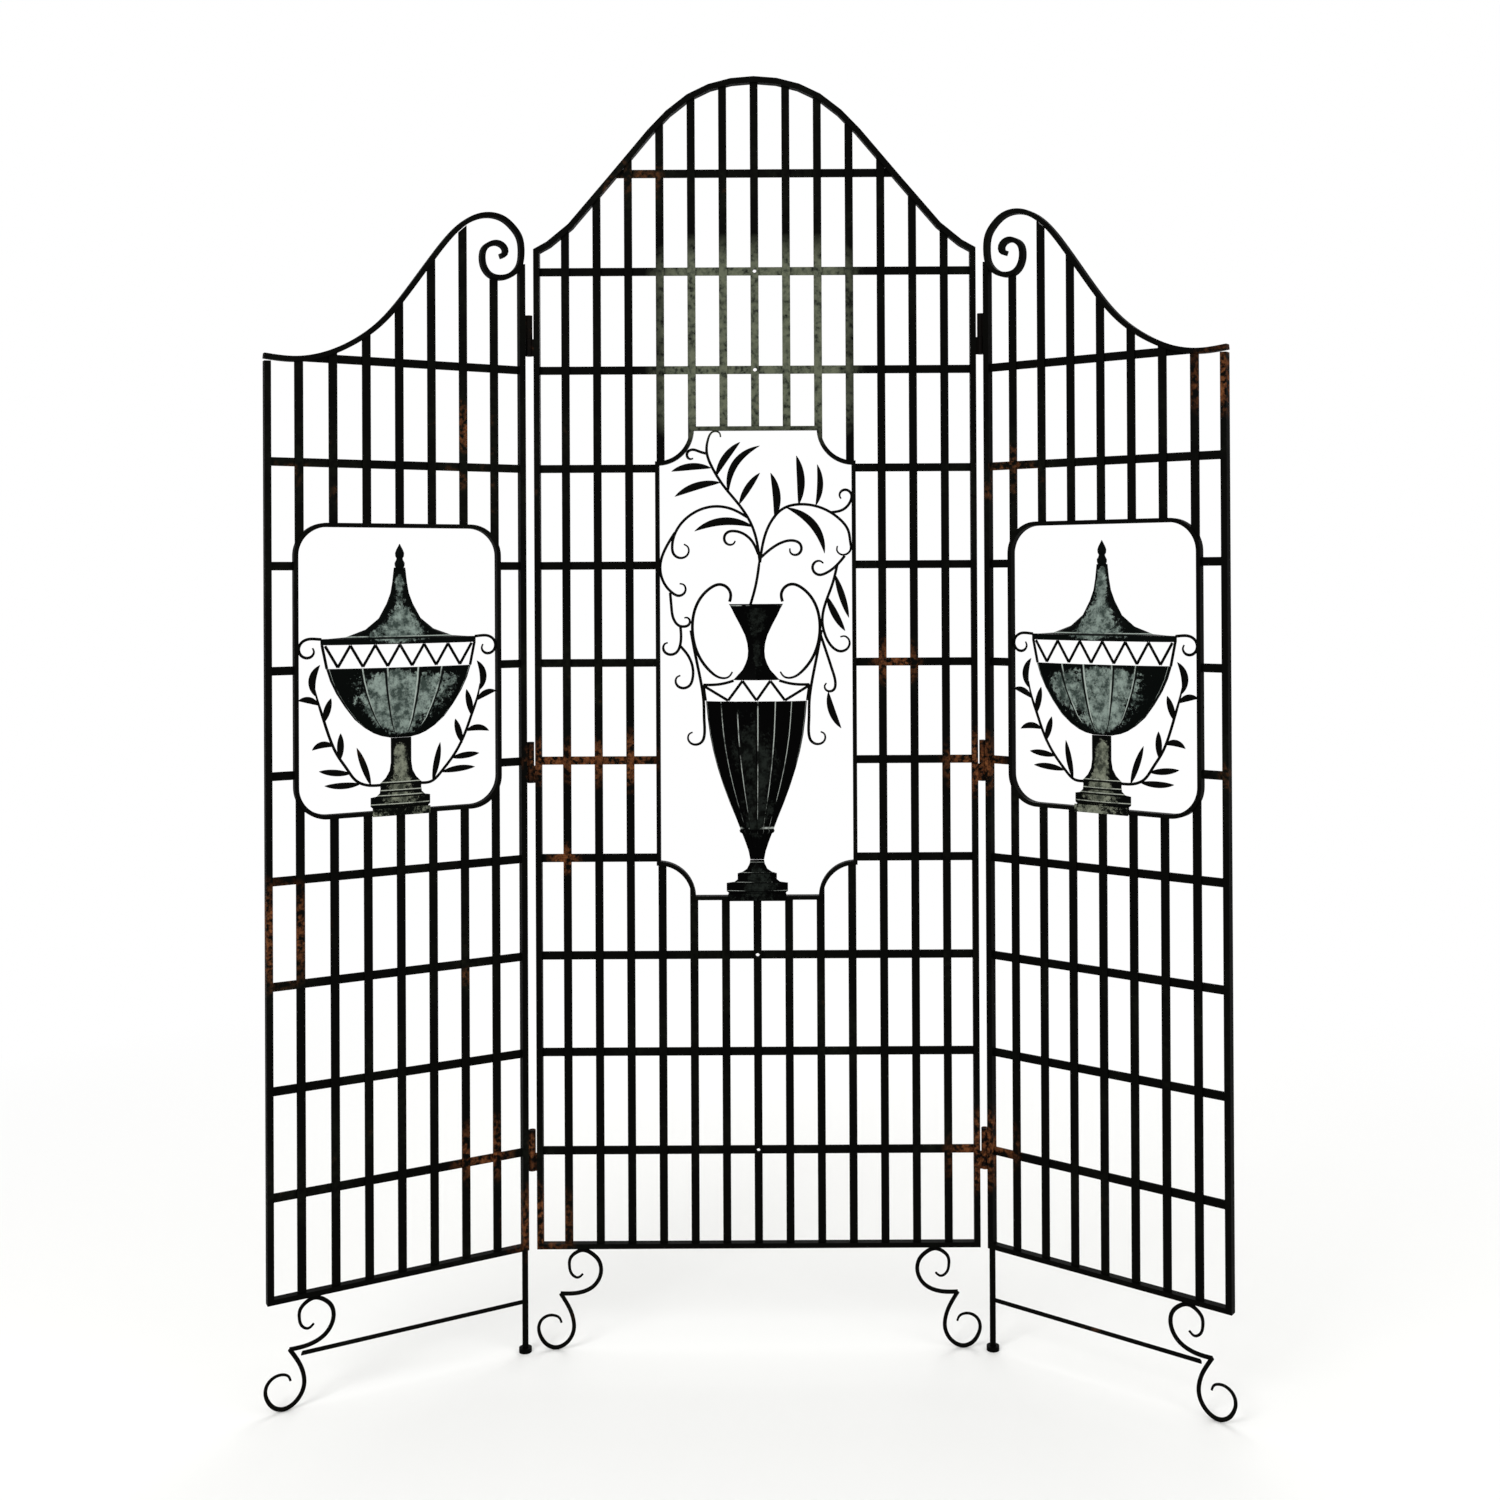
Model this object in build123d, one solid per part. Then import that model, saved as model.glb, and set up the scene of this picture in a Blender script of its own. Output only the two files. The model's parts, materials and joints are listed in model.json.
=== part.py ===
from build123d import *
import math
import os

os.makedirs("parts", exist_ok=True)

# Wrought iron folding screen, three leaves, in millimetres with +Z up.
# Each leaf is drawn flat in X and Z with its front towards -Y. A wing is drawn along +X from
# its hinge axis and is then turned into place. At the end everything is moved so that the
# origin is on the floor below the middle of the screen.

# Whole screen
LEFT_ANGLE = 29.4
RIGHT_ANGLE = 36.8
STILE_GAP = 8.0

# Bar stock
DEPTH = 12.7
STILE = 9.5
ARCH_BAR = 9.5
SWEPT_BAR = 8.0
RAIL = 8.0
FLAT = 12.7
FLAT_THICK = 3.2
MOTIF_BAR = 6.35
ROD = 6.4
PLATE = 2.0
WIRE = 3.0

# Lattice
PITCH = 50.0
RUNGS = [1860.4, 1705.0, 1548.6, 1392.8, 1239.2, 1085.0, 930.6, 776.4, 622.2, 469.5, 314.0]
RAIL_Z = 164.5
RAIL_BOTTOM = RAIL_Z - RAIL / 2

# Centre leaf
HALF_WIDTH = 350.0
SHOULDER_Z = 1740.0
HOLE = 6.0
HOLE_RUNGS = [RUNGS[1], RUNGS[2], RUNGS[8], RUNGS[10]]

# Wing leaf
WING_OUTER = 408.5
WING_AXIS = (STILE_GAP + WING_OUTER) / 2 + 0.25
WING_TOP = 1547.5
VOLUTE_X = 151.0
SWEEP_RUN = 257.5

# Motif frames, measured on their bar's middle line
FRAME_SIDE = 155.5
FRAME_TOP = 1455.5
FRAME_BOTTOM = 713.0
HOLLOW_R = 55.0
WING_FRAME_TOP = 1300.5
WING_FRAME_BOTTOM = 866.0
WING_CORNER_R = 46.0

# Hinges
HINGE_X = HALF_WIDTH + STILE_GAP
HINGE_Z = [1598.5, 923.0, 310.0]
BARREL_R = 5.5
PIN_R = 3.0
PIN_FIT = 0.05
SOCKET_H = 37.0
PINTLE_H = 27.0
HINGE_GAP = 0.4
LUG = 5.0

# Feet
LEG_R = 4.75
PAD_R = 10.0
PAD_H = 7.0
STRETCHER_Z = 79.0
FOOT_TIP_Z = 88.5
CENTRE_TIP = HALF_WIDTH - 36
WING_TIP = WING_OUTER - 32.5

# Urn and vase plates
BACK = 1.5
PLAIN = [(-90, 1), (-55, 1), (-20, 1), (20, 1), (55, 1), (90, 1)]
ROUND = [(angle, 1) for angle in range(-180, 180, 45)]
BOWL_LOBES = [(-90, 1), (-62, 1), (-35, 0.86), (-14, 0.9), (0, 1), (14, 0.9), (35, 0.86)]
BOWL_LOBES += [(62, 1), (90, 1)]
VASE_LOBES = [(-90, 1), (-68, 1), (-46, 0.86), (-24, 0.86), (-12, 1), (0, 0.88), (12, 1)]
VASE_LOBES += [(24, 0.86), (46, 0.86), (68, 1), (90, 1)]

# Urn of a wing
BRIM_Z = 1121.5
LID_BRIM = 9.0
BRIM_R = 119.0
RIM_CURL_R = (FRAME_SIDE - WIRE / 2 - BRIM_R - 1) / 2
BOWL_TOP = 1086.0
BOWL_R = 111.0
BOWL_BOTTOM = 979.0
STEM_R = 15.5

# Vase of the centre leaf
MOUTH_Z = 1177.5
MOUTH_R = 43.0
NECK_FOOT_Z = 1057.0
BODY_TOP = 1024.0
BODY_R = 80.0
BODY_BOTTOM = 773.0


NODES = {}


# General helpers
def slab(sketch, back=DEPTH / 2, front=DEPTH / 2):
    """Outline in X and Z made solid from y = back to y = -front."""
    return extrude(Plane.XZ.offset(-back) * sketch, back + front)


def bar(x0, x1, z0, z1, back=DEPTH / 2, front=DEPTH / 2):
    """Straight bar between two corners."""
    middle = Pos((x0 + x1) / 2, (back - front) / 2, (z0 + z1) / 2)
    return middle * Box(x1 - x0, back + front, z1 - z0)


def upright(x, z0, z1):
    """Flat upright, in front of the crossbars."""
    return bar(x - FLAT / 2, x + FLAT / 2, z0, z1, 0, FLAT_THICK)


def crossbar(z, x0, x1):
    """Flat crossbar, behind the uprights."""
    return bar(x0, x1, z - FLAT / 2, z + FLAT / 2, FLAT_THICK, 0)


def outline(*edges):
    """Closed outline from edges that run end to end."""
    return make_face(Curve() + list(edges))


def arc(a, b, c):
    """Arc through three places, or a line where they are in line."""
    if abs((b - a).cross(c - b).Z) < 0.004 * (b - a).length * (c - b).length:
        return Line(a, c)
    return ThreePointArc(a, b, c)


def arcs(places):
    """Chain of arcs, each through three places in turn."""
    return [arc(*places[i:i + 3]) for i in range(0, len(places) - 2, 2)]


def smooth(*points):
    """Arcs that follow a smooth curve through some points, one from each to the next."""
    line = Spline(*points)
    steps = 2 * (len(points) - 1)
    return arcs([line @ (i / steps) for i in range(steps + 1)])


def stops(line, points, turn):
    """Places along a smooth curve, about one for each turn degrees that it bends."""
    marks = [line.param_at_point(Vector(*point)) for point in points]
    found = [0]
    for a, b in zip([0] + marks[1:-1], marks[1:-1] + [1]):
        parts = max(1, round((line % a).get_angle(line % b) / turn))
        found += [a + (b - a) * (i + 1) / parts for i in range(parts)]
    return found


def stroke(points, width=WIRE, turn=26):
    """Band of constant width along a smooth curve, in short straight runs."""
    line = Spline(*points)
    left, right = [], []
    for place in stops(line, points, turn):
        along = line % place
        side = Vector(-along.Y, along.X) * (width / 2)
        left.append(line @ place + side)
        right.append(line @ place - side)
    return make_face(Polyline(*left, *right[::-1], left[0]))


def curl(centre, r0, r1, a0, a1):
    """Points of a spiral from radius r0 at angle a0 to r1 at a1, about every 45 degrees."""
    steps = max(2, round(abs(a1 - a0) / 45))
    points = []
    for i in range(steps + 1):
        share = i / steps
        radius = r0 + (r1 - r0) * share
        angle = math.radians(a0 + (a1 - a0) * share)
        x = centre[0] + radius * math.cos(angle)
        points.append((x, centre[1] + radius * math.sin(angle)))
    return points


def leaf(base, tip, left, right):
    """Pointed leaf between two arcs that pass left and right of the middle of its chord,
    cut in straight snips."""
    a, b = Vector(*base), Vector(*tip)
    middle = (a + b) * 0.5
    along = (b - a).normalized()
    side = Vector(-along.Y, along.X)
    one = ThreePointArc(a, middle + side * left, b)
    two = ThreePointArc(b, middle + side * right, a)
    rim = [edge @ (i / 4) for edge in (one, two) for i in range(4)]
    return make_face(Polyline(*rim, a))


def around(opening):
    """Everything outside an opening of a motif frame."""
    return Pos(0, (FRAME_TOP + FRAME_BOTTOM) / 2) * Rectangle(600, 1200) - opening


def mirrored(sketch):
    """The same outline on the other side of the middle line."""
    return mirror(sketch, about=Plane.YZ)


def moved(sketch, x):
    """The same outline set off sideways."""
    return Pos(x, 0) * sketch


def faces_of(*sketches):
    """All the faces of some outlines in one sketch."""
    total = Sketch()
    for sketch in sketches:
        total += sketch
    return total


def both_sides(profile):
    """Right-hand profile joined to its mirror image."""
    return profile + mirrored(profile)


def dome_ring(z, half, swell, facets):
    """Corners of a level cut through a dome that is swell times as deep as it is wide."""
    corners = []
    for angle, share in facets:
        turn = math.radians(angle)
        depth = share * swell * half * math.cos(turn)
        corners.append(Vector(half * math.sin(turn), BACK - PLATE / 2 - depth, z))
    return corners


def dome(levels, swell, facets):
    """Faceted dome through its levels (z, half), with a flat back."""
    rings = [dome_ring(z, half, swell, facets) for z, half in levels]
    sides = [rings[0], rings[-1]]
    for low, high in zip(rings, rings[1:]):
        for i in range(len(low)):
            sides.append([low[i - 1], low[i], high[i], high[i - 1]])
    return Solid(Shell([Face(Wire.make_polygon(side)) for side in sides]))


def raised(profile, levels, swell, facets=PLAIN):
    """Back plate with a faceted dome in front of it."""
    return slab(both_sides(profile), BACK, PLATE - BACK) + dome(levels, swell, facets)


def bowed(profile, front, radius):
    """Outline cut from thick stock whose front is rounded about an upright line."""
    stock = slab(both_sides(profile), BACK, front)
    return stock & Pos(0, radius - front, 1000) * Cylinder(radius, 2000)


def solids_of(shapes):
    """Every solid of some shapes, where a cut may have left several."""
    solids = []
    for shape in shapes:
        for part in shape if isinstance(shape, list) else [shape]:
            solids += part.solids()
    return solids


def save(name, *shapes):
    """Keep one node, made of the solids of some shapes."""
    NODES[name] = Compound(solids_of(shapes))


def write_nodes():
    """Write every node with the origin on the floor below the middle of the whole screen."""
    box = Compound(list(NODES.values())).bounding_box()
    place = Pos(-box.center().X, -box.center().Y, -box.min.Z)
    for name, shape in NODES.items():
        export_step(place * shape, f"parts/{name}.step")
    print("centre leaf moved by", -box.center().X, -box.center().Y, -box.min.Z)


# Scroll foot, drawn outwards from its tip at x = 0
def scroll_foot(tip_x):
    upper = [(0, FOOT_TIP_Z), (-21, 88.5), (-38, 92), (-51, 99), (-60, 110), (-64, 125)]
    upper += [(-61, 139), (-50, 151), (-36, 156.8), (-23, 152), (-15.5, 144), (-14, 131)]
    upper += [(-18.5, 118), (-27, 113.5), (-35, 119)]
    lower = [(0, FOOT_TIP_Z), (-9, 74), (-16, 60), (-20, 46), (-20.5, 32), (-15.5, 18.5)]
    lower += [(-5.5, 8), (8, 2.6), (22, 8), (31.5, 20), (35, 33.5), (31, 46)]
    lower += [(21.5, 53), (11, 54), (2, 49.5), (-1, 42.5)]
    point = make_face(Polyline((2, 91), (-24, 92), (-12.5, 68), (2, 91)))
    weld = Pos(-36, RAIL_BOTTOM - 4) * Rectangle(28, 8)
    foot = faces_of(stroke(upper, ROD, 20), stroke(lower, ROD, 20), point, weld)
    foot -= Pos(0, -10) * Rectangle(200, 20)
    foot -= Pos(0, RAIL_BOTTOM + 10) * Rectangle(200, 20)
    return Pos(tip_x, 0, 0) * slab(foot, ROD / 2, ROD / 2)


# Centre leaf frame
def arch_points():
    """Middle line of the ogee bar, from the left shoulder over the crown to the right one."""
    half = [(0, 268.2), (HALF_WIDTH - 247, 240.8), (HALF_WIDTH - 185.5, 185.8)]
    half += [(HALF_WIDTH - 121.5, 110), (HALF_WIDTH - 58.5, 36.6), (HALF_WIDTH - 24, 8.4)]
    half.append((HALF_WIDTH + 2, -6))
    half = [(x, SHOULDER_Z + rise) for x, rise in half]
    return [(-x, z) for x, z in reversed(half[1:])] + half


def arch_band():
    band = stroke(arch_points(), ARCH_BAR, 10)
    for side in (-1, 1):
        band -= Pos(side * (HALF_WIDTH + 10), SHOULDER_Z) * Rectangle(20, 60)
    return band


def above_arch():
    line = arch_points()
    roof_z = SHOULDER_Z + 360
    edge_x = line[-1][0]
    roof = Polyline(line[-1], (edge_x, roof_z), (-edge_x, roof_z), line[0])
    sky = outline(*smooth(*line), *roof.edges())
    return slab(faces_of(sky, stroke(line, ARCH_BAR, 10)), 20, 20)


def centre_fill(grow):
    """Motif frame outline of the centre, offset from its middle line."""
    height = FRAME_TOP - FRAME_BOTTOM
    middle = (FRAME_TOP + FRAME_BOTTOM) / 2
    fill = Pos(0, middle) * Rectangle(2 * (FRAME_SIDE + grow), height + 2 * grow)
    for x in (-FRAME_SIDE, FRAME_SIDE):
        for z in (FRAME_TOP, FRAME_BOTTOM):
            fill -= Pos(x, z) * Circle(HOLLOW_R - grow)
    return fill


def hinge_holes():
    """Holes through the middle upright and the crossbars behind it."""
    holes = Part()
    for z in HOLE_RUNGS:
        holes += slab(Pos(0, z) * Circle(HOLE / 2), 10, 10)
    return holes


def centre_frame():
    sky = above_arch()
    fill = slab(centre_fill(MOTIF_BAR / 2), 20, 20)
    holes = hinge_holes()
    inner = HALF_WIDTH - STILE
    over = SHOULDER_Z + 310
    save("centre_arch", slab(arch_band()))
    stiles = [bar(s * HALF_WIDTH - (s + 1) / 2 * STILE, s * HALF_WIDTH - (s - 1) / 2 * STILE,
                  RAIL_BOTTOM, SHOULDER_Z + 50) - sky for s in (-1, 1)]
    save("centre_stiles", *stiles)
    save("centre_bottom_rail", bar(-inner, inner, RAIL_BOTTOM, RAIL_BOTTOM + RAIL))
    foot_z = RAIL_BOTTOM + RAIL
    last = int((inner - FLAT / 2) / PITCH)
    side = [upright(s * i * PITCH, foot_z, over) - sky for s in (-1, 1)
            for i in range(4, last + 1)]
    save("centre_side_uprights", *side)
    above, below = [], []
    for i in range(-3, 4):
        above.append(upright(i * PITCH, FRAME_TOP - 75.5, over) - sky - fill - holes)
        below.append(upright(i * PITCH, foot_z, FRAME_BOTTOM + 77) - fill - holes)
    save("centre_upper_uprights", *[highest(piece) for piece in above])
    save("centre_lower_uprights", *[lowest(piece) for piece in below])
    top = [crossbar(z, -inner, inner) - sky - holes for z in RUNGS[0:3]]
    save("centre_top_crossbars", *top)
    short = [crossbar(z, -inner, inner) - fill for z in RUNGS[3:8]]
    save("centre_short_crossbars", *short)
    low = [crossbar(z, -inner, inner) - holes for z in RUNGS[8:11]]
    save("centre_lower_crossbars", *low)
    ring = centre_fill(MOTIF_BAR / 2) - centre_fill(-MOTIF_BAR / 2)
    save("centre_motif_frame", slab(ring))
    save("centre_scroll_feet", scroll_foot(CENTRE_TIP),
         mirror(scroll_foot(CENTRE_TIP), about=Plane.YZ))


def highest(shape):
    return shape.solids().sort_by(Axis.Z)[-1]


def lowest(shape):
    return shape.solids().sort_by(Axis.Z)[0]


# Vase of the centre leaf
def neck_profile():
    side = smooth((33, 1061), (22, 1073), (13, 1103), (17.5, 1128), (34, 1160),
                  (MOUTH_R, 1176.5))
    floor = Polyline((33, 1061), (37, NECK_FOOT_Z), (0, NECK_FOOT_Z), (0, MOUTH_Z),
                     (MOUTH_R, MOUTH_Z), (MOUTH_R, 1176.5))
    return outline(*side, *floor.edges())


def body_profile():
    side = smooth((11, BODY_BOTTOM), (13.5, 786), (24, 815), (43, 863), (62, 918),
                  (BODY_R, BODY_TOP))
    rest = Polyline((BODY_R, BODY_TOP), (0, BODY_TOP), (0, BODY_BOTTOM), (11, BODY_BOTTOM))
    return outline(*side, *rest.edges())


def vase_foot_profile():
    flare = Polyline((11, BODY_BOTTOM), (12, 767), (16, 759), (23, 754), (31, 751.5))
    bottom = FRAME_BOTTOM + MOTIF_BAR / 2
    rest = Polyline((31, 751.5), (31, 742), (36, 738), (48.5, 736), (48.5, 723), (45.5, 721),
                    (45.5, bottom), (0, bottom), (0, BODY_BOTTOM), (11, BODY_BOTTOM))
    return outline(*flare.edges(), *rest.edges())


def vase_lattice():
    """Zigzag wire between the neck and the body, with the shoulder wires above it."""
    room = Pos(0, (BODY_TOP + NECK_FOOT_Z) / 2) * Rectangle(190, NECK_FOOT_Z - BODY_TOP)
    shoulder = [(36, 1056), (52, 1051.5), (70, 1049.5), (86, 1049.5)]
    zigzag = Polyline((0, 1023), (22, 1056), (45, 1023), (82, 1047))
    edge = Line((80.5, 1023), (84.5, 1051))
    half = faces_of(stroke(shoulder), trace(zigzag, WIRE), trace(edge, WIRE))
    return (both_sides(half)) & room


def handle_line():
    points = [(42, 1181), (40, 1192), (46, 1204), (58, 1208.5), (72, 1203), (88, 1187)]
    points += [(98, 1165), (101, 1142), (98, 1115), (88, 1090), (73, 1071), (56, 1060.5)]
    points += [(44, 1062), (38, 1070)]
    return points


def side_scroll_line():
    points = [(103.5, 1136), (98, 1105), (91, 1070), (86.5, 1046), (83.5, 1020), (83, 995)]
    return points + curl((99, 968), 16.5, 7, 170, 430)


def vase():
    neck = neck_profile()
    body = body_profile()
    foot = vase_foot_profile()
    levels = [(MOUTH_Z - 1, 41.5), (1160, 32.5), (1128, 15.5), (1103, 11.5), (1086, 13)]
    save("vase_neck", raised(neck, levels + [(1073, 20.5), (1062, 30)], 0.33))
    levels = [(BODY_TOP - 1, 78.5), (970, 72.5), (918, 60.5), (863, 41.5), (815, 22.5)]
    levels += [(786, 12), (BODY_BOTTOM + 1, 10)]
    save("vase_body", raised(body, levels, 0.24, VASE_LOBES))
    save("vase_foot", bowed(foot, 6, 260))
    lattice = vase_lattice()
    save("vase_lattice_band", wire(lattice))
    solid = faces_of(both_sides(neck), both_sides(body), lattice)
    handle = stroke(handle_line(), 3.4) - solid
    scroll = stroke(side_scroll_line(), 3.4) - solid - handle
    save("vase_handles", wire(both_sides(handle)))
    save("vase_side_scrolls", wire(both_sides(scroll)))
    return faces_of(solid, both_sides(handle), both_sides(scroll))


def wire(sketch):
    """Flat wire work, centred on the leaf."""
    return slab(sketch, WIRE / 2, WIRE / 2)


# Bouquet of the centre leaf
def bouquet_lines():
    lines = [[(-9, 1176), (-2, 1200), (3, 1225), (6.5, 1253)]]
    lines.append([(6, 1246), (2, 1275), (-8, 1306), (-28, 1337), (-50, 1364), (-68, 1393),
                  (-77, 1418), (-75, 1438), (-66, 1451), (-57, 1449), (-55, 1442)])
    lines.append([(-77, 1416), (-88, 1419)] + curl((-101, 1413), 9.5, 5, 80, 300))
    lines.append([(-12, 1314), (-38, 1328), (-68, 1332), (-100, 1321), (-124, 1297)]
                 + curl((-117, 1264), 16, 9, 165, 430))
    lines.append([(-128, 1291), (-142, 1268), (-151.5, 1238), (-146, 1212)]
                 + curl((-121, 1203), 13.5, 7, 215, 450))
    lines.append([(-136, 1196), (-134, 1172), (-131, 1155), (-121, 1143)]
                 + curl((-112, 1151), 9, 5, 260, 470))
    lines.append([(-120, 1143), (-119, 1127)] + curl((-138, 1111), 17, 6, 0, -250))
    lines.append([(-121, 1112), (-108, 1096), (-101, 1078)] + curl((-118, 1058), 17, 7, 5, -250))
    lines.append([(4, 1256), (-6, 1277), (-20, 1289)] + curl((-39, 1280), 13.5, 7, 75, 340))
    lines.append([(6.5, 1243), (13, 1280), (24, 1307), (45, 1329), (72, 1335), (102, 1330),
                  (130, 1314), (147, 1292)] + curl((137, 1266), 15, 8, 30, -200))
    lines.append([(120, 1322), (138, 1326)] + curl((141, 1348), 12, 7, -30, 220))
    lines.append([(141, 1253), (127, 1237)] + curl((101, 1236), 14, 8, -50, -320))
    lines.append([(129, 1239), (121, 1208), (110, 1178), (105, 1148), (110, 1126)]
                 + curl((136, 1117), 17, 8, 215, 470))
    lines.append([(102, 1128), (112, 1098), (121, 1070)] + curl((115, 1047), 10.5, 6, 15, -230))
    lines.append([(7, 1250), (22, 1263), (40, 1274)] + curl((61, 1264), 13.5, 7, 95, -190))
    return lines


def bouquet_leaf_list():
    leaves = [((-63, 1379), (-24, 1434), 9, 1), ((-43, 1352), (7, 1428), 21, 13)]
    leaves += [((-26, 1335), (7, 1385), 6.5, -1), ((-70, 1393), (-133, 1388), -1, -9)]
    leaves += [((-55, 1370), (-128, 1348), -1.5, -10), ((-3, 1299), (-97, 1293), -8, -17)]
    leaves += [((30, 1312), (24, 1385), -2, -11), ((68, 1334), (65, 1412), -1, -10)]
    leaves += [((95, 1332), (98, 1398), -2.5, -9.5), ((48, 1330), (109, 1257), 20, 11)]
    leaves += [((125, 1224), (147, 1155), 4, -3.5), ((112, 1190), (141, 1134), 2, -6)]
    leaves.append(((114, 1038), (134, 980), -1, -9))
    return leaves


def bouquet(taken):
    stems = faces_of(*[stroke(points) for points in bouquet_lines()])
    stems = stems - around(centre_fill(-MOTIF_BAR / 2)) - taken
    save("bouquet_stems", wire(stems))
    used = faces_of(stems, taken)
    leaves = [leaf(*values) - used for values in bouquet_leaf_list()]
    save("bouquet_leaves", *[wire(largest(piece)) for piece in leaves])


def largest(sketch):
    return Sketch() + sketch.faces().sort_by(SortBy.AREA)[-1]


# Hinges, shared by the three leaves
def barrel(reach):
    """Section of a barrel joined to the weld that reaches to its stile."""
    return Circle(BARREL_R) + Pos(reach / 2, 0) * Rectangle(abs(reach), LUG)


def socket(z):
    """Upper barrel of a lift-off hinge with its weld, bored for the pin."""
    section = barrel(STILE_GAP) - Circle(PIN_R + PIN_FIT)
    return Pos(0, 0, z + HINGE_GAP) * extrude(section, SOCKET_H)


def pintle(z):
    """Lower barrel of a lift-off hinge with its weld, and the pin that stands in it."""
    lower = Pos(0, 0, z - PINTLE_H) * extrude(barrel(-STILE_GAP), PINTLE_H)
    return lower + Pos(0, 0, z) * extrude(Circle(PIN_R), SOCKET_H - 2)


def pintles():
    right = [Pos(HINGE_X, 0, 0) * pintle(z) for z in HINGE_Z]
    left = [mirror(piece, about=Plane.YZ) for piece in right]
    save("hinge_pintles", *left, *right)


# Wing frame
def swept_line():
    """Middle line of the swept bar: the sweep, from the outer stile to the volute, stretches
    with the wing, and the volute keeps its size. Heights are above the wing's corner."""
    reach = (WING_OUTER - VOLUTE_X) / SWEEP_RUN
    sweep = [(263, -4), (214, -2.5), (173, 5.5), (132, 24.5), (90, 55.5), (44, 110.5)]
    top = [(VOLUTE_X + reach * x, WING_TOP + rise) for x, rise in sweep]
    top += [(x, WING_TOP + rise) for x, rise in
            [(VOLUTE_X, 172.5), (127, 203.5), (100, 228.5), (64, 241.5)]]
    volute = [(42, 237.5), (26, 225.5), (16, 211.5), (12.75, 196.5), (12.75, 182.5)]
    volute += [(16, 166.5), (24, 155.5), (34, 148.5), (50, 144.5), (64, 147.5), (73, 157.5)]
    volute += [(76.5, 174.5), (73, 188.5), (63, 196.5), (53, 199), (44, 196), (39, 188.5)]
    volute += [(41, 181.5), (47, 178.5)]
    return top, [(x, WING_TOP + rise) for x, rise in volute]


def swept_band():
    top, volute = swept_line()
    band = stroke(top + volute, SWEPT_BAR, 14)
    return band - Pos(WING_OUTER + 10, WING_TOP - 2.5) * Rectangle(20, 60)


def above_sweep():
    top, volute = swept_line()
    roof_z = WING_TOP + 452.5
    roof = Polyline(top[-1], (top[-1][0], roof_z), (top[0][0], roof_z), top[0])
    return slab(outline(*smooth(*top), *roof.edges()), 20, 20)


def wing_fill(grow):
    """Motif frame outline of a wing, offset from its middle line."""
    height = WING_FRAME_TOP - WING_FRAME_BOTTOM
    middle = Pos(WING_AXIS, (WING_FRAME_TOP + WING_FRAME_BOTTOM) / 2)
    return middle * RectangleRounded(2 * (FRAME_SIDE + grow), height + 2 * grow,
                                     WING_CORNER_R + grow)


def wing_frame():
    sky = above_sweep()
    band = slab(swept_band(), 20, 20)
    fill = slab(wing_fill(MOTIF_BAR / 2), 20, 20)
    inner = STILE_GAP + STILE
    outer = WING_OUTER - STILE
    foot_z = RAIL_BOTTOM + RAIL
    nodes = {}
    nodes["swept_top_bar"] = [slab(swept_band())]
    stile = bar(STILE_GAP, inner, RAIL_BOTTOM, WING_TOP + 168.5) - band
    nodes["inner_stile"] = [lowest(stile)]
    nodes["outer_stile"] = [lowest(bar(outer, WING_OUTER, RAIL_BOTTOM, WING_TOP - 2.5) - band - sky)]
    nodes["bottom_rail"] = [bar(inner, outer, RAIL_BOTTOM, foot_z)]
    above, below = [], []
    for i in range(-3, 4):
        x = WING_AXIS + i * PITCH
        top = WING_TOP + (152.5 if i == -3 else 302.5)
        piece = upright(x, WING_FRAME_TOP - 60.5, top) - sky - band - fill
        above.append(largest_solid(piece))
        below.append(lowest(upright(x, foot_z, WING_FRAME_BOTTOM + 34) - fill))
    nodes["upper_uprights"] = above
    nodes["lower_uprights"] = below
    full = [largest_solid(crossbar(z, inner, outer) - sky - band) for z in RUNGS[2:4]]
    nodes["upper_crossbars"] = full
    short = [crossbar(z, inner, outer) - fill for z in RUNGS[4:7]]
    nodes["short_crossbars"] = short
    nodes["lower_crossbars"] = [crossbar(z, inner, outer) for z in RUNGS[7:11]]
    ring = wing_fill(MOTIF_BAR / 2) - wing_fill(-MOTIF_BAR / 2)
    nodes["motif_frame"] = [slab(ring)]
    return nodes


def largest_solid(shape):
    return shape.solids().sort_by(SortBy.VOLUME)[-1]


def wing_feet():
    leg_x = STILE_GAP + STILE / 2
    leg = Pos(leg_x, 0, (PAD_H + RAIL_BOTTOM) / 2) * Cylinder(LEG_R, RAIL_BOTTOM - PAD_H)
    pad = Pos(leg_x, 0, PAD_H / 2) * Cylinder(PAD_R, PAD_H)
    leg = leg + pad
    foot = scroll_foot(WING_TIP)
    length = WING_TIP - 14 - leg_x
    rod = Pos(leg_x + length / 2, 0, STRETCHER_Z) * Rot(0, 90, 0) * Cylinder(3.2, length)
    nodes = {"round_leg": [leg], "scroll_foot": [foot]}
    nodes["stretcher_rod"] = [largest_solid(rod - leg - foot)]
    nodes["hinge_sockets"] = [socket(z) for z in HINGE_Z]
    return nodes


# Urn of a wing, drawn about x = 0
def lid_profile():
    top = BRIM_Z + LID_BRIM
    side = smooth((9, 1237), (14, 1198), (20, 1182), (32, 1160), (52, 1143.5),
                  (BRIM_R - 37, top + 2), (BRIM_R - 11, top))
    rest = Polyline((BRIM_R - 11, top), (BRIM_R, top), (BRIM_R, BRIM_Z), (0, BRIM_Z), (0, 1237),
                    (9, 1237))
    return outline(*side, *rest.edges())


def finial():
    """Eight-sided bud on the tip of the lid."""
    return dome([(1234, 5.5), (1249, 8), (1262, 5.5), (1273, 1)], 1, ROUND)


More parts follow.
